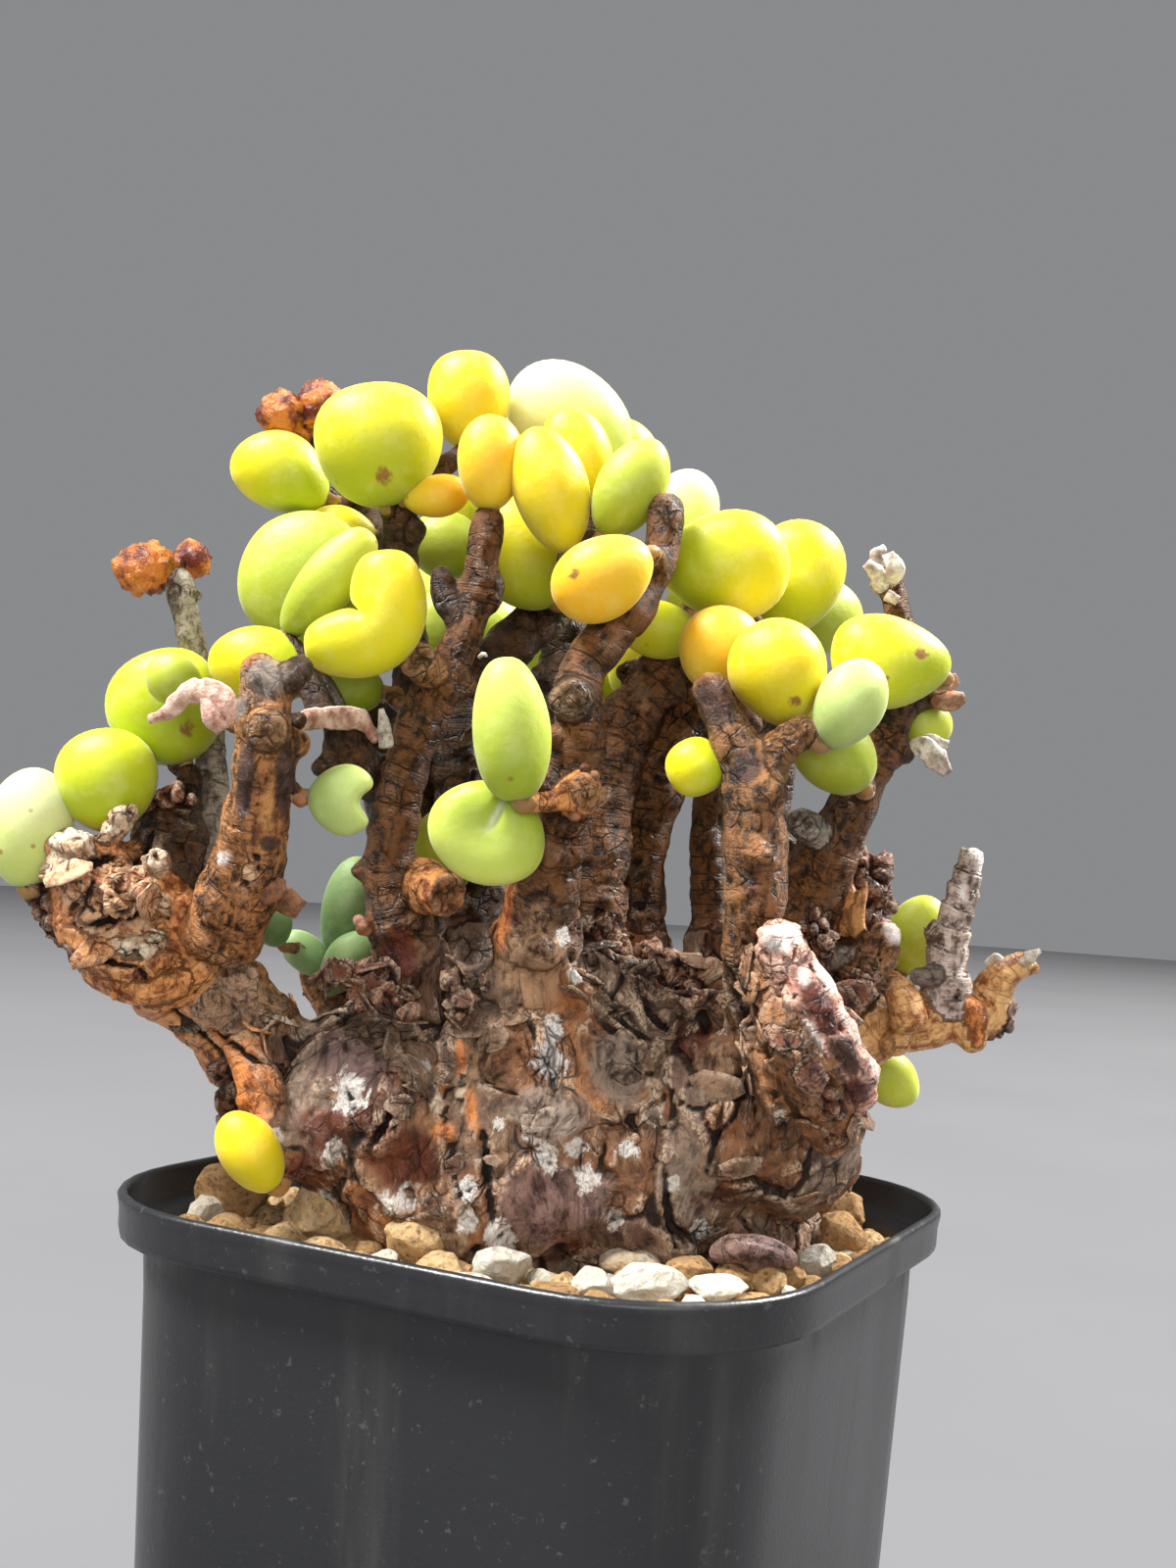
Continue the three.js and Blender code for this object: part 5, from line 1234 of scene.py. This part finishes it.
def pot_ring(half, z):
    flat = rounded_square(half, POT_CORNER - (COLLAR_HALF - half))
    return np.column_stack([flat, np.full(len(flat), z)])


def body_half(z):
    return COLLAR_HALF - COLLAR_STEP - POT_TAPER * (COLLAR_FOOT - z)


def pot_part():
    """The cup's skin, from the middle of its foot up the outside, over the bead and down the inside."""
    lip = 0.55
    bead = [(COLLAR_HALF - lip + lip * math.cos(a), POT_HEIGHT - lip + lip * math.sin(a))
            for a in np.linspace(0, math.pi / 2, 6)]
    inner = COLLAR_HALF - POT_WALL
    profile = [(body_half(0) - 4, 0.25), (body_half(0) - 3.2, 0), (body_half(0) - 1.6, 0),
               (body_half(0.4) - 0.5, 0.25), (body_half(1), 1.1)]
    profile += [(body_half(z), z) for z in np.linspace(4, COLLAR_FOOT - 2, 22)]
    profile += [(body_half(COLLAR_FOOT - 0.7), COLLAR_FOOT - 0.7),
                (body_half(COLLAR_FOOT) + 0.25, COLLAR_FOOT - 0.1),
                (COLLAR_HALF - 0.9, COLLAR_FOOT), (COLLAR_HALF - 0.45, COLLAR_FOOT + 0.15),
                (COLLAR_HALF - 0.3, COLLAR_FOOT + 0.7), (COLLAR_HALF - 0.25, COLLAR_FOOT + 2.4),
                (COLLAR_HALF - 0.12, POT_HEIGHT - 1.1)]
    profile += bead
    profile += [(inner + 0.2, POT_HEIGHT - 0.05), (inner, POT_HEIGHT - 0.5),
                (inner - 0.2, COLLAR_FOOT + 1.4), (inner - 1.0, COLLAR_FOOT + 0.8),
                (body_half(COLLAR_FOOT) - POT_WALL, COLLAR_FOOT)]
    profile += [(body_half(z) - POT_WALL, z) for z in (60, 45, 30, 15, POT_FLOOR + 1)]
    profile += [(body_half(POT_FLOOR) - POT_WALL - 0.8, POT_FLOOR)]
    rings = np.stack([pot_ring(half, z) for half, z in profile])
    outward = unit(rings * np.array([1, 1, 0]))
    x, y, z = np.moveaxis(rings, -1, 0)
    wave = 0.12 * np.sin(x * 0.21 + 1) * np.sin(y * 0.19) * np.sin(z * 0.06) * (z < COLLAR_FOOT - 3)
    rings = rings + outward * wave[..., None]
    x, y, z = np.moveaxis(rings, -1, 0)
    groove = 0.3 * bell(y - MOULD_LINE, 0.28) * (x > 20) * (z < COLLAR_FOOT - 1)
    rings = rings - outward * groove[..., None]
    points, faces = skin(rings, np.array([0, 0, 0.25]), np.array([0, 0, POT_FLOOR]))
    return points, faces, {}


def cut_drains(pot):
    """Cuts the four drain holes through the pot's floor."""
    cutters = []
    for side_x in (-1, 1):
        for side_y in (-1, 1):
            mesh = bmesh.new()
            bmesh.ops.create_cone(mesh, cap_ends=True, segments=32, radius1=DRAIN_RADIUS * MM,
                                  radius2=DRAIN_RADIUS * MM, depth=6 * POT_FLOOR * MM)
            data = bpy.data.meshes.new("drain")
            mesh.to_mesh(data)
            mesh.free()
            data.transform(Matrix.Translation((side_x * DRAIN_OFFSET * MM, side_y * DRAIN_OFFSET * MM, 0)))
            cutter = show("drain", data)
            cut = pot.modifiers.new("drain", "BOOLEAN")
            cut.object = cutter
            cut.operation = "DIFFERENCE"
            cutters.append(cutter)
    result = bpy.data.meshes.new_from_object(pot.evaluated_get(bpy.context.evaluated_depsgraph_get()))
    pot.modifiers.clear()
    pot.data = result
    for cutter in cutters:
        bpy.data.objects.remove(cutter)


# The gravel. A stone has its place as seen, across and up, its three radii, and how pale it is.

LOOSE_STONES = {
    "stone_brown_left": (-36.2, -42, (3.5, 3.4, 3.1), 0.24),
    "stone_tan_left": (-27.2, -43.8, (3.4, 3.2, 3), 0.72),
}

SET_STONES = [
    (-40.5, -43.4, (2.2, 1.4, 2), 0.85),
    (-16.8, -46.2, (3.9, 2.8, 2.8), 0.5),
    (-9, -49.2, (2.6, 1.5, 1.8), 0.9),
    (0.3, -51, (2, 1.3, 1.7), 0.95),
    (4.4, -48.8, (2.6, 1.4, 1.8), 0.8),
    (5.5, -51, (3.5, 1.5, 2.2), 0.95),
    (9.4, -47.6, (3, 1.3, 1.9), 0.95),
    (10.3, -50, (2, 1.6, 1.8), 0.35),
    (13, -51.5, (2.5, 1.1, 1.8), 0.95),
    (14.9, -50.2, (1.7, 1.5, 1.6), 0.3),
    (18.2, -50.6, (1.6, 1.3, 1.5), 0.5),
    (20.6, -50.6, (1.4, 1.1, 1.3), 0.4),
    (23.4, -48.7, (1.7, 1.5, 1.7), 0.9),
    (25.5, -46.1, (2.6, 2.1, 2.4), 0.3),
    (27.8, -43.2, (3.6, 2.4, 2.8), 0.2),
    (32.2, -43.7, (2.5, 2.2, 2.4), 0.25),
]

# The grains between them: their least and largest radius and how many, how far they may lie from the pot's
# middle either way, and how often a place is tried.
SCATTER = ((2.1, 3.0, 26), (1.3, 2.0, 90), (0.6, 1.2, 260))
SCATTER_REACH = 32
TRIES = 6000


def stone_body(middle, radii, tone, seed, detail, axes=STANDING):
    """An angular grain: a ball with flats cut on it and a pitted skin."""
    random = np.random.default_rng(1000 + seed)
    ball, faces = BALLS[detail]
    points = ball.copy()
    for _ in range(9):
        way = unit(random.normal(size=3))
        points -= np.outer(np.maximum(0, points @ way - random.uniform(0.62, 0.86)), way)
    points *= (1.16 + 0.1 * rough_noise(points * 3, 1.2, seed, 4))[:, None]
    return (points * np.array(radii)) @ axes.T + middle, faces, {"tone": tone}


def turned_axes(random):
    angle = random.uniform(0, 2 * math.pi)
    return rotation(angle, "z") @ rotation(random.normal(0, 0.35), "x")


def inside_pot(x, y, radius):
    """Whether a stone of this radius clears the pot's wall."""
    half = body_half(COLLAR_FOOT) - POT_WALL - radius
    off = np.maximum(np.abs([x, y]) - (half - SOIL_CORNER), 0)
    return np.hypot(*off) < SOIL_CORNER


def scattered_stones(taken):
    """Grains that fill what is left of the surface, the large ones first."""
    random = np.random.default_rng(7)
    parts = []
    for low, high, wanted in SCATTER:
        placed = 0
        for _ in range(TRIES):
            radius = random.uniform(low, high)
            x, y = random.uniform(-SCATTER_REACH, SCATTER_REACH, 2)
            if not inside_pot(x, y, radius):
                continue
            z = SOIL_TOP - 0.25 * radius + random.uniform(-0.9, 0.2)
            middle = np.array([x, y, z])
            if any(np.hypot(x - a, y - b) < 0.72 * (radius + r) for a, b, r in taken):
                continue
            gap = min(ALL_LIMBS.nearest(middle[None])[1][0], lump_gap(middle[None])[0])
            if gap < 0.35 * radius:
                continue
            taken.append((x, y, radius))
            radii = radius * random.uniform((0.9, 0.8, 0.6), (1.25, 1.1, 0.9))
            tone = random.choice((0.25, 0.4, 0.52, 0.6, 0.88), p=(0.18, 0.24, 0.24, 0.14, 0.2))
            detail = 3 if radius > 1.25 else 2
            parts.append(stone_body(middle, radii, tone, len(taken), detail, turned_axes(random)))
            placed += 1
            if placed == wanted:
                break
    return parts


def soil_part():
    """The filling between the stones: a gritty top, and sides and foot just inside the pot's wall."""
    clear = POT_WALL + 0.3
    rings = [pot_ring(body_half(POT_FLOOR) - clear, POT_FLOOR + 0.3)]
    rings.append(pot_ring(body_half(BED_SHOULDER) - clear, BED_SHOULDER))
    top = pot_ring(body_half(COLLAR_FOOT) - clear, BED_TOP)
    for share in np.linspace(1, 0.03, 60):
        ring = top * np.array([share, share, 1])
        ring[:, 2] += 0.5 * rough_noise(ring, 2.2, 90, 4)
        rings.append(ring)
    foot = np.array([0, 0, POT_FLOOR + 0.3])
    points, faces = skin(np.stack(rings), foot, np.array([0, 0, BED_TOP]))
    return points, faces, {"tone": 0.3}


def resting_place(across, up, radii):
    """Where a stone seen at one place lies on the soil, drawn in until it clears the pot's wall."""
    middle = seen_at_height(across, up, SOIL_TOP + 0.6 * radii[1])
    while not inside_pot(middle[0], middle[1], radii[0]):
        middle[:2] *= 0.99
    return middle


def make_gravel():
    for number, (name, (across, up, radii, tone)) in enumerate(LOOSE_STONES.items()):
        middle = seen_at_height(across, up, SOIL_TOP + 0.6 * radii[1])
        part = stone_body(middle, radii, tone, 300 + number, 4)
        add_piece(f"rough_{name}", part, MATERIALS["stone"], "loose_stone", name)
    taken, parts = [], []
    for number, (across, up, radii, tone) in enumerate(SET_STONES):
        middle = resting_place(across, up, radii)
        taken.append((middle[0], middle[1], 0.9 * radii[0]))
        parts.append(stone_body(middle, radii, tone, 400 + number, 4))
    for across, up, radii, _ in LOOSE_STONES.values():
        middle = seen_at_height(across, up, SOIL_TOP)
        taken.append((middle[0], middle[1], radii[0]))
    parts += scattered_stones(taken)
    add_piece("gravel_stones", merged(parts), MATERIALS["stone"], "gravel", "gravel_filling")
    add_piece("gravel_bed", soil_part(), MATERIALS["stone"], "gravel", "gravel_filling")


# Materials

class Nodes:
    """A material's node tree, with short calls for the nodes used here."""

    def __init__(self, name):
        self.material = bpy.data.materials.new(name)
        self.material.use_nodes = True
        self.tree = self.material.node_tree
        self.shader = self.tree.nodes["Principled BSDF"]
        self.place = self.add("TexCoord").outputs["Object"]

    def put(self, target, value):
        if isinstance(value, bpy.types.NodeSocket):
            self.tree.links.new(value, target)
        else:
            target.default_value = value

    def add(self, kind, inputs=None, **settings):
        """A new node with its settings, and a number or a link for each of its inputs named."""
        node = self.tree.nodes.new(f"ShaderNode{kind}")
        for key, setting in settings.items():
            setattr(node, key, setting)
        for key, value in (inputs or {}).items():
            self.put(node.inputs[key], value)
        return node

    def attribute(self, name):
        return self.add("Attribute", attribute_name=name).outputs["Fac"]

    def vector(self, name):
        return self.add("Attribute", attribute_name=name).outputs["Vector"]

    def warped(self, place, scale, amount):
        """Places moved by a noise of up to amount each way."""
        noise = self.add("TexNoise", {"Vector": place, "Scale": scale, "Detail": 3}).outputs["Color"]
        inputs = {0: noise, 1: (2 * amount,) * 3, 2: place}
        return self.add("VectorMath", inputs, operation="MULTIPLY_ADD").outputs[0]

    def scaled(self, place, factors):
        return self.add("VectorMath", {0: place, 1: factors}, operation="MULTIPLY").outputs[0]

    def noise(self, scale, detail, rough=0.55, distortion=0.0, place=None):
        inputs = {"Vector": place or self.place, "Scale": scale, "Detail": detail, "Roughness": rough,
                  "Distortion": distortion}
        return self.add("TexNoise", inputs).outputs["Fac"]

    def cells(self, scale, feature="F1", place=None):
        inputs = {"Vector": place or self.place, "Scale": scale}
        return self.add("TexVoronoi", inputs, feature=feature).outputs["Distance"]

    def steps(self, value, low, high):
        """0 at low, 1 at high, smooth between."""
        inputs = {"Value": value, "From Min": low, "From Max": high}
        return self.add("MapRange", inputs, interpolation_type="SMOOTHSTEP").outputs["Result"]

    def maths(self, operation, first, second):
        return self.add("Math", {0: first, 1: second}, operation=operation).outputs[0]

    def plus(self, first, second):
        return self.maths("ADD", first, second)

    def minus(self, first, second):
        return self.maths("SUBTRACT", first, second)

    def times(self, first, second):
        return self.maths("MULTIPLY", first, second)

    def larger(self, first, second):
        return self.maths("MAXIMUM", first, second)

    def pingpong(self, value, half):
        return self.maths("PINGPONG", value, half)

    def mix(self, share, first, second, blend="MIX"):
        node = self.add("Mix", {"Factor": share}, data_type="RGBA", blend_type=blend)
        for key, value in ((6, first), (7, second)):
            self.put(node.inputs[key], (*value, 1) if isinstance(value, tuple) else value)
        return node.outputs[2]

    def bump(self, height, strength, distance):
        inputs = {"Height": height, "Strength": strength, "Distance": distance}
        return self.add("Bump", inputs).outputs["Normal"]

    def finish(self, **sockets):
        for name, value in sockets.items():
            self.put(self.shader.inputs[name.replace("_", " ")], value)
        return self.material


def plate_colour(n, grain):
    """The base's plates, each of one of five browns, paler where the grain is high."""
    tone = n.attribute("tone")
    plate = n.mix(n.steps(tone, 0.12, 0.2), (0.11, 0.026, 0.012), (0.26, 0.12, 0.055))
    plate = n.mix(n.steps(tone, 0.38, 0.44), plate, (0.24, 0.155, 0.10))
    plate = n.mix(n.steps(tone, 0.68, 0.73), plate, (0.34, 0.25, 0.19))
    plate = n.mix(n.steps(tone, 0.9, 0.94), plate, (0.46, 0.20, 0.075))
    dull = n.mix(n.steps(grain, 0.32, 0.7), (0.13, 0.10, 0.08), (0.90, 0.87, 0.83))
    return n.mix(0.9, plate, dull, "OVERLAY")


def stained(n, colour, place, base, fleck):
    """A bark colour with grey, wine and rust patches, pale wear and painted highlight on raised edges,
    specks and the white crust on it.
    """
    greyer = n.times(n.steps(n.noise(0.22, 4, 0.6, place=place), 0.5, 0.62), n.attribute("grey"))
    greyer = n.times(greyer, n.minus(0.6, n.times(base, 0.4)))
    colour = n.mix(greyer, colour, (0.24, 0.185, 0.14))
    wine = n.times(n.steps(n.noise(0.13, 3, 0.5, place=place), 0.55, 0.63), 0.5)
    colour = n.mix(n.times(wine, base), colour, (0.12, 0.02, 0.008))
    rust = n.steps(n.noise(0.17, 5, 0.65, 0.4, place=place), 0.58, 0.7)
    colour = n.mix(n.times(rust, n.plus(0.3, n.times(base, 0.4))), colour, (0.42, 0.13, 0.025))
    # Pale wear on raised edges, which also paints a highlight there.
    wear_and_highlight = n.times(n.steps(n.attribute("cavity_shading"), 0.55, 0.70), n.steps(fleck, 0.38, 0.58))
    colour = n.mix(n.times(wear_and_highlight, n.plus(0.42, n.times(base, 0.4))), colour, (0.80, 0.58, 0.40))
    specks = n.steps(n.noise(2.1, 5, 0.7, place=place), 0.63, 0.69)
    colour = n.mix(n.times(specks, n.plus(0.1, n.times(base, 0.35))), colour, (0.78, 0.68, 0.58))
    crust = n.plus(n.times(n.attribute("chalk"), 0.5), n.noise(0.9, 8, 0.75, place=place))
    white = n.mix(n.steps(fleck, 0.3, 0.6), (0.55, 0.46, 0.38), (0.90, 0.85, 0.79))
    return n.mix(n.steps(crust, 0.80, 0.90), colour, white)


def bark_lines(n, flat, place, fibre):
    """How strongly each point lies in the bark's rings, wrinkles, splits and cracks, and in its recesses,
    which are painted dark as shade.
    """
    rings = n.attribute("rings")
    turn = n.plus(n.attribute("turn"), n.times(n.noise(1.1, 3, 0.6, place=flat), 0.16))
    ring = n.times(n.steps(n.pingpong(turn, 0.5), 0.07, 0.02), rings)
    ring = n.times(ring, n.steps(fibre, 0.3, 0.6))
    wrinkle = n.times(n.steps(n.pingpong(n.times(turn, 5), 0.5), 0.2, 0.02), rings)
    split = n.steps(n.cells(0.42, "DISTANCE_TO_EDGE", place), 0.07, 0.0)
    hair = n.steps(n.cells(1.2, "DISTANCE_TO_EDGE", place), 0.07, 0.0)
    lines = n.larger(n.times(split, 0.85), n.times(hair, 0.35))
    lines = n.times(lines, n.steps(n.noise(0.3, 2, 0.5, place=place), 0.42, 0.62))
    lines = n.larger(n.times(lines, n.attribute("loud")), n.times(wrinkle, 0.18))
    lines = n.larger(lines, n.steps(n.attribute("crack"), 0.25, 0.8))
    # A low cavity_shading adds painted shade in the recesses.
    return n.larger(lines, n.larger(ring, n.steps(n.attribute("cavity_shading"), 0.4, 0.14)))


def bark_material():
    n = Nodes("bark")
    flat = n.vector("place")
    place = n.warped(flat, 0.6, 0.45)
    base = n.attribute("base")
    grain = n.noise(0.8, 8, 0.7, place=place)
    fleck = n.noise(3.4, 3, 0.6, place=place)
    fibre = n.noise(1.5, 4, 0.6, place=n.scaled(flat, (1, 1, 0.14)))
    share = n.plus(n.times(n.steps(grain, 0.3, 0.7), 0.6), n.times(n.attribute("tone"), 0.3))
    share = n.plus(share, n.times(n.steps(fibre, 0.35, 0.7), 0.35))
    colour = n.mix(n.steps(share, 0.18, 0.86), n.vector("dark"), n.vector("light"))
    colour = n.mix(n.times(base, 0.85), colour, plate_colour(n, grain))
    colour = stained(n, colour, place, base, fleck)
    scar = n.plus(n.attribute("scar"), n.times(n.noise(1.4, 3, 0.6, place=flat), 0.25))
    cut = n.steps(scar, 1.2, 1.05)
    torn = n.mix(n.steps(grain, 0.35, 0.65), (0.07, 0.024, 0.008), (0.42, 0.24, 0.12))
    colour = n.mix(n.times(cut, 0.6), colour, torn)
    scar_rings = n.times(n.steps(n.pingpong(n.times(scar, 1.7), 0.5), 0.2, 0.04), 0.6)
    lines_and_shade = n.larger(bark_lines(n, flat, place, fibre), n.times(scar_rings, cut))
    # Cracks, rings and splits near black, and painted shade in the recesses.
    colour = n.mix(n.times(lines_and_shade, 0.93), colour, (0.009, 0.003, 0.001))
    height = n.plus(n.plus(grain, n.times(fibre, 0.5)), n.times(fleck, 0.3))
    height = n.minus(height, n.times(lines_and_shade, 0.7))
    rough = n.plus(n.times(n.steps(n.noise(0.4, 3, 0.5, place=place), 0.4, 0.7), 0.3), 0.4)
    rough = n.minus(rough, n.times(n.attribute("gloss"), 0.25))
    return n.finish(Base_Color=colour, Roughness=rough, Normal=n.bump(height, 1.0, 0.0006),
                    Specular_IOR_Level=0.4)


LEAF_LOOKS = {
    "lime": {"tip": (0.78, 0.70, 0.003), "base": (0.44, 0.50, 0.005)},
    "yellow": {"tip": (0.88, 0.63, 0.005), "base": (0.66, 0.56, 0.005)},
    "lemon": {"tip": (0.84, 0.70, 0.006), "base": (0.70, 0.68, 0.012)},
    "spring": {"tip": (0.62, 0.68, 0.01), "base": (0.40, 0.50, 0.01)},
    "amber": {"tip": (0.88, 0.49, 0.012), "base": (0.82, 0.55, 0.02)},
    "green": {"tip": (0.50, 0.57, 0.05), "base": (0.31, 0.38, 0.015)},
    "fresh": {"tip": (0.62, 0.72, 0.13), "base": (0.34, 0.43, 0.02)},
    "pale": {"tip": (0.70, 0.73, 0.38), "base": (0.60, 0.69, 0.17)},
    "jade": {"tip": (0.52, 0.63, 0.20), "base": (0.36, 0.47, 0.13)},
    "sea": {"tip": (0.30, 0.45, 0.18), "base": (0.13, 0.25, 0.08)},
}


def leaf_material(name):
    look = LEAF_LOOKS[name]
    n = Nodes(f"leaf_{name}")
    along = n.attribute("along")
    drift = n.plus(along, n.times(n.noise(110, 2, 0.5), 0.5))
    colour = n.mix(n.steps(drift, 0.35, 1.15), look["base"], look["tip"])
    cloud = n.steps(n.noise(420, 4, 0.6), 0.45, 0.75)
    colour = n.mix(n.times(cloud, 0.16), colour, (0.85, 0.86, 0.45))
    pits = n.steps(n.cells(1500), 0.16, 0.07)
    colour = n.mix(n.times(pits, 0.12), colour, (0.25, 0.28, 0.05))
    spots = n.times(n.steps(n.cells(330), 0.12, 0.05), n.steps(n.noise(95, 2), 0.55, 0.62))
    scars = n.steps(n.times(n.attribute("scar"), n.noise(900, 3, 0.7)), 0.2, 0.42)
    colour = n.mix(n.larger(n.times(spots, 0.75), scars), colour, (0.30, 0.14, 0.03))
    colour = n.mix(n.times(n.attribute("crease"), 0.7), colour, (0.86, 0.88, 0.62))
    stalk = n.steps(along, 0.02, -0.12)
    colour = n.mix(n.times(stalk, 0.9), colour, (0.30, 0.13, 0.05))
    height = n.plus(n.noise(1500, 2, 0.5), n.times(n.noise(260, 2, 0.5), 0.8))
    return n.finish(Base_Color=colour, Roughness=0.5, Normal=n.bump(height, 0.14, 0.0004),
                    Subsurface_Weight=0.5, Subsurface_Radius=(1.0, 0.75, 0.12), Subsurface_Scale=0.0035,
                    Sheen_Weight=0.2, Sheen_Roughness=0.4, Specular_IOR_Level=0.4)


def withered_material():
    n = Nodes("withered")
    colour = n.mix(n.steps(n.noise(330, 5, 0.6), 0.42, 0.58), (0.085, 0.012, 0.005), (0.62, 0.19, 0.025))
    colour = n.mix(n.times(n.steps(n.noise(900, 4, 0.65), 0.6, 0.7), 0.35), colour, (0.80, 0.58, 0.42))
    return n.finish(Base_Color=colour, Roughness=0.3, Normal=n.bump(n.noise(900, 5, 0.65), 0.8, 0.001),
                    Subsurface_Weight=0.1)


def scraps_material():
    n = Nodes("scraps")
    kind = n.attribute("scrap")
    grain = n.steps(n.noise(600, 6, 0.65), 0.34, 0.66)
    rosy = n.mix(grain, (0.30, 0.10, 0.055), (0.84, 0.55, 0.42))
    pale = n.mix(grain, (0.20, 0.13, 0.08), (0.80, 0.72, 0.60))
    rusty = n.mix(grain, (0.09, 0.025, 0.01), (0.44, 0.17, 0.065))
    colour = n.mix(n.steps(kind, 0.3, 0.4), rosy, pale)
    colour = n.mix(n.steps(kind, 0.6, 0.7), colour, rusty)
    rim = n.times(n.steps(n.attribute("rim"), 0.75, 1.0), n.minus(0.8, kind))
    colour = n.mix(rim, colour, (0.94, 0.86, 0.74))
    flecks = n.steps(n.noise(1700, 3, 0.6), 0.62, 0.7)
    colour = n.mix(n.times(flecks, 0.5), colour, (0.14, 0.06, 0.03))
    height = n.plus(n.noise(1500, 5, 0.65), n.noise(400, 3, 0.6))
    return n.finish(Base_Color=colour, Roughness=0.6, Normal=n.bump(height, 0.6, 0.0005),
                    Subsurface_Weight=0.1)


def stone_material():
    n = Nodes("stone")
    tone = n.plus(n.attribute("tone"), n.times(n.minus(n.noise(500, 4, 0.6), 0.5), 0.35))
    brown = n.mix(n.steps(tone, 0.05, 0.3), (0.24, 0.12, 0.045), (0.72, 0.42, 0.17))
    tan = n.mix(n.steps(tone, 0.36, 0.54), brown, (1.0, 0.68, 0.33))
    colour = n.mix(n.steps(tone, 0.7, 0.9), tan, (1.0, 0.94, 0.78))
    dirt = n.times(n.steps(n.noise(1300, 6, 0.75), 0.48, 0.62), n.steps(tone, 1.1, 0.5))
    colour = n.mix(n.times(dirt, 0.5), colour, (0.20, 0.09, 0.03))
    pits = n.times(n.steps(n.cells(1100), 0.3, 0.12), n.steps(tone, 0.9, 0.55))
    colour = n.mix(n.times(pits, 0.6), colour, (0.05, 0.022, 0.01))
    height = n.plus(n.noise(1800, 6, 0.75), n.times(n.cells(1100), 0.9))
    return n.finish(Base_Color=colour, Roughness=0.92, Normal=n.bump(height, 1.0, 0.001))


def pot_material():
    n = Nodes("pot")
    dust = n.steps(n.noise(150, 6, 0.6, place=n.scaled(n.place, (1, 1, 0.1))), 0.5, 0.74)
    scuff = n.steps(n.noise(900, 3, 0.75), 0.62, 0.7)
    colour = n.mix(n.times(dust, 0.35), (0.016, 0.0165, 0.018), (0.075, 0.07, 0.066))
    colour = n.mix(n.times(scuff, 0.35), colour, (0.12, 0.115, 0.11))
    rough = n.plus(n.times(dust, 0.2), n.plus(n.times(scuff, 0.15), 0.3))
    height = n.plus(n.noise(2200, 3, 0.5), n.times(n.noise(160, 3, 0.5), 1.2))
    return n.finish(Base_Color=colour, Roughness=rough, Normal=n.bump(height, 0.1, 0.0004))


MATERIALS = {name: leaf_material(name) for name in LEAF_LOOKS}
MATERIALS["bark"] = bark_material()
MATERIALS["withered"] = withered_material()
MATERIALS["scraps"] = scraps_material()
MATERIALS["stone"] = stone_material()
MATERIALS["pot"] = pot_material()


# Stage, lights and camera. Their places, sizes and power are in metres and watts.

LIGHT_AIM = (0, 0, 0.12)
FLOOR_RADIUS = 3


def make_floor():
    n = Nodes("floor")
    colour = n.mix(n.noise(6, 3, 0.5), (0.115, 0.115, 0.12), (0.135, 0.135, 0.14))
    mesh = bmesh.new()
    bmesh.ops.create_circle(mesh, cap_ends=True, radius=FLOOR_RADIUS, segments=96)
    data = bpy.data.meshes.new("floor")
    mesh.to_mesh(data)
    mesh.free()
    data.materials.append(n.finish(Base_Color=colour, Roughness=1.0, Specular_IOR_Level=0.0))
    floor = show("floor", data)


def add_light(name, place, size, power, colour=(1, 1, 1)):
    data = bpy.data.lights.new(name, "AREA")
    data.shape = "DISK"
    data.size = size
    data.energy = power
    data.color = colour
    way = unit(np.array(LIGHT_AIM) - np.array(place))
    side = unit(np.cross(way, (0, 0, 1)))
    axes = np.column_stack([side, np.cross(side, way), -way])
    light = show(name, data)
    light.matrix_world = Matrix.Translation(place) @ Matrix(axes.tolist()).to_4x4()


def make_lights():
    world = bpy.data.worlds.new("studio")
    world.use_nodes = True
    sky = world.node_tree.nodes["Background"]
    sky.inputs["Color"].default_value = (0.60, 0.61, 0.63, 1)
    sky.inputs["Strength"].default_value = 0.42
    bpy.context.scene.world = world
    bpy.context.scene.view_settings.view_transform = "Standard"
    add_light("key", (-1.0, -1.0, 2.3), 0.85, 180)
    add_light("rim", (1.1, 1.4, 1.9), 0.8, 170, (1, 0.98, 0.95))
    add_light("fill", (1.2, -1.7, 0.5), 2.0, 32)


def make_camera():
    data = bpy.data.cameras.new("camera")
    data.sensor_width = SENSOR_MM
    data.sensor_fit = "AUTO"
    data.lens = SENSOR_MM * FOCAL_PIXELS / FRAME_LONG_SIDE
    data.clip_start = 0.005
    camera = show("camera", data)
    camera.matrix_world = Matrix.Translation(EYE * MM) @ Matrix(STANDING.tolist()).to_4x4()
    bpy.context.scene.camera = camera


# The whole

make_camera()
make_lights()
make_floor()
cut_drains(add_piece("nursery_pot", pot_part(), MATERIALS["pot"], "pot", "pot"))
make_gravel()
make_wood()
make_leaves()
make_scraps()
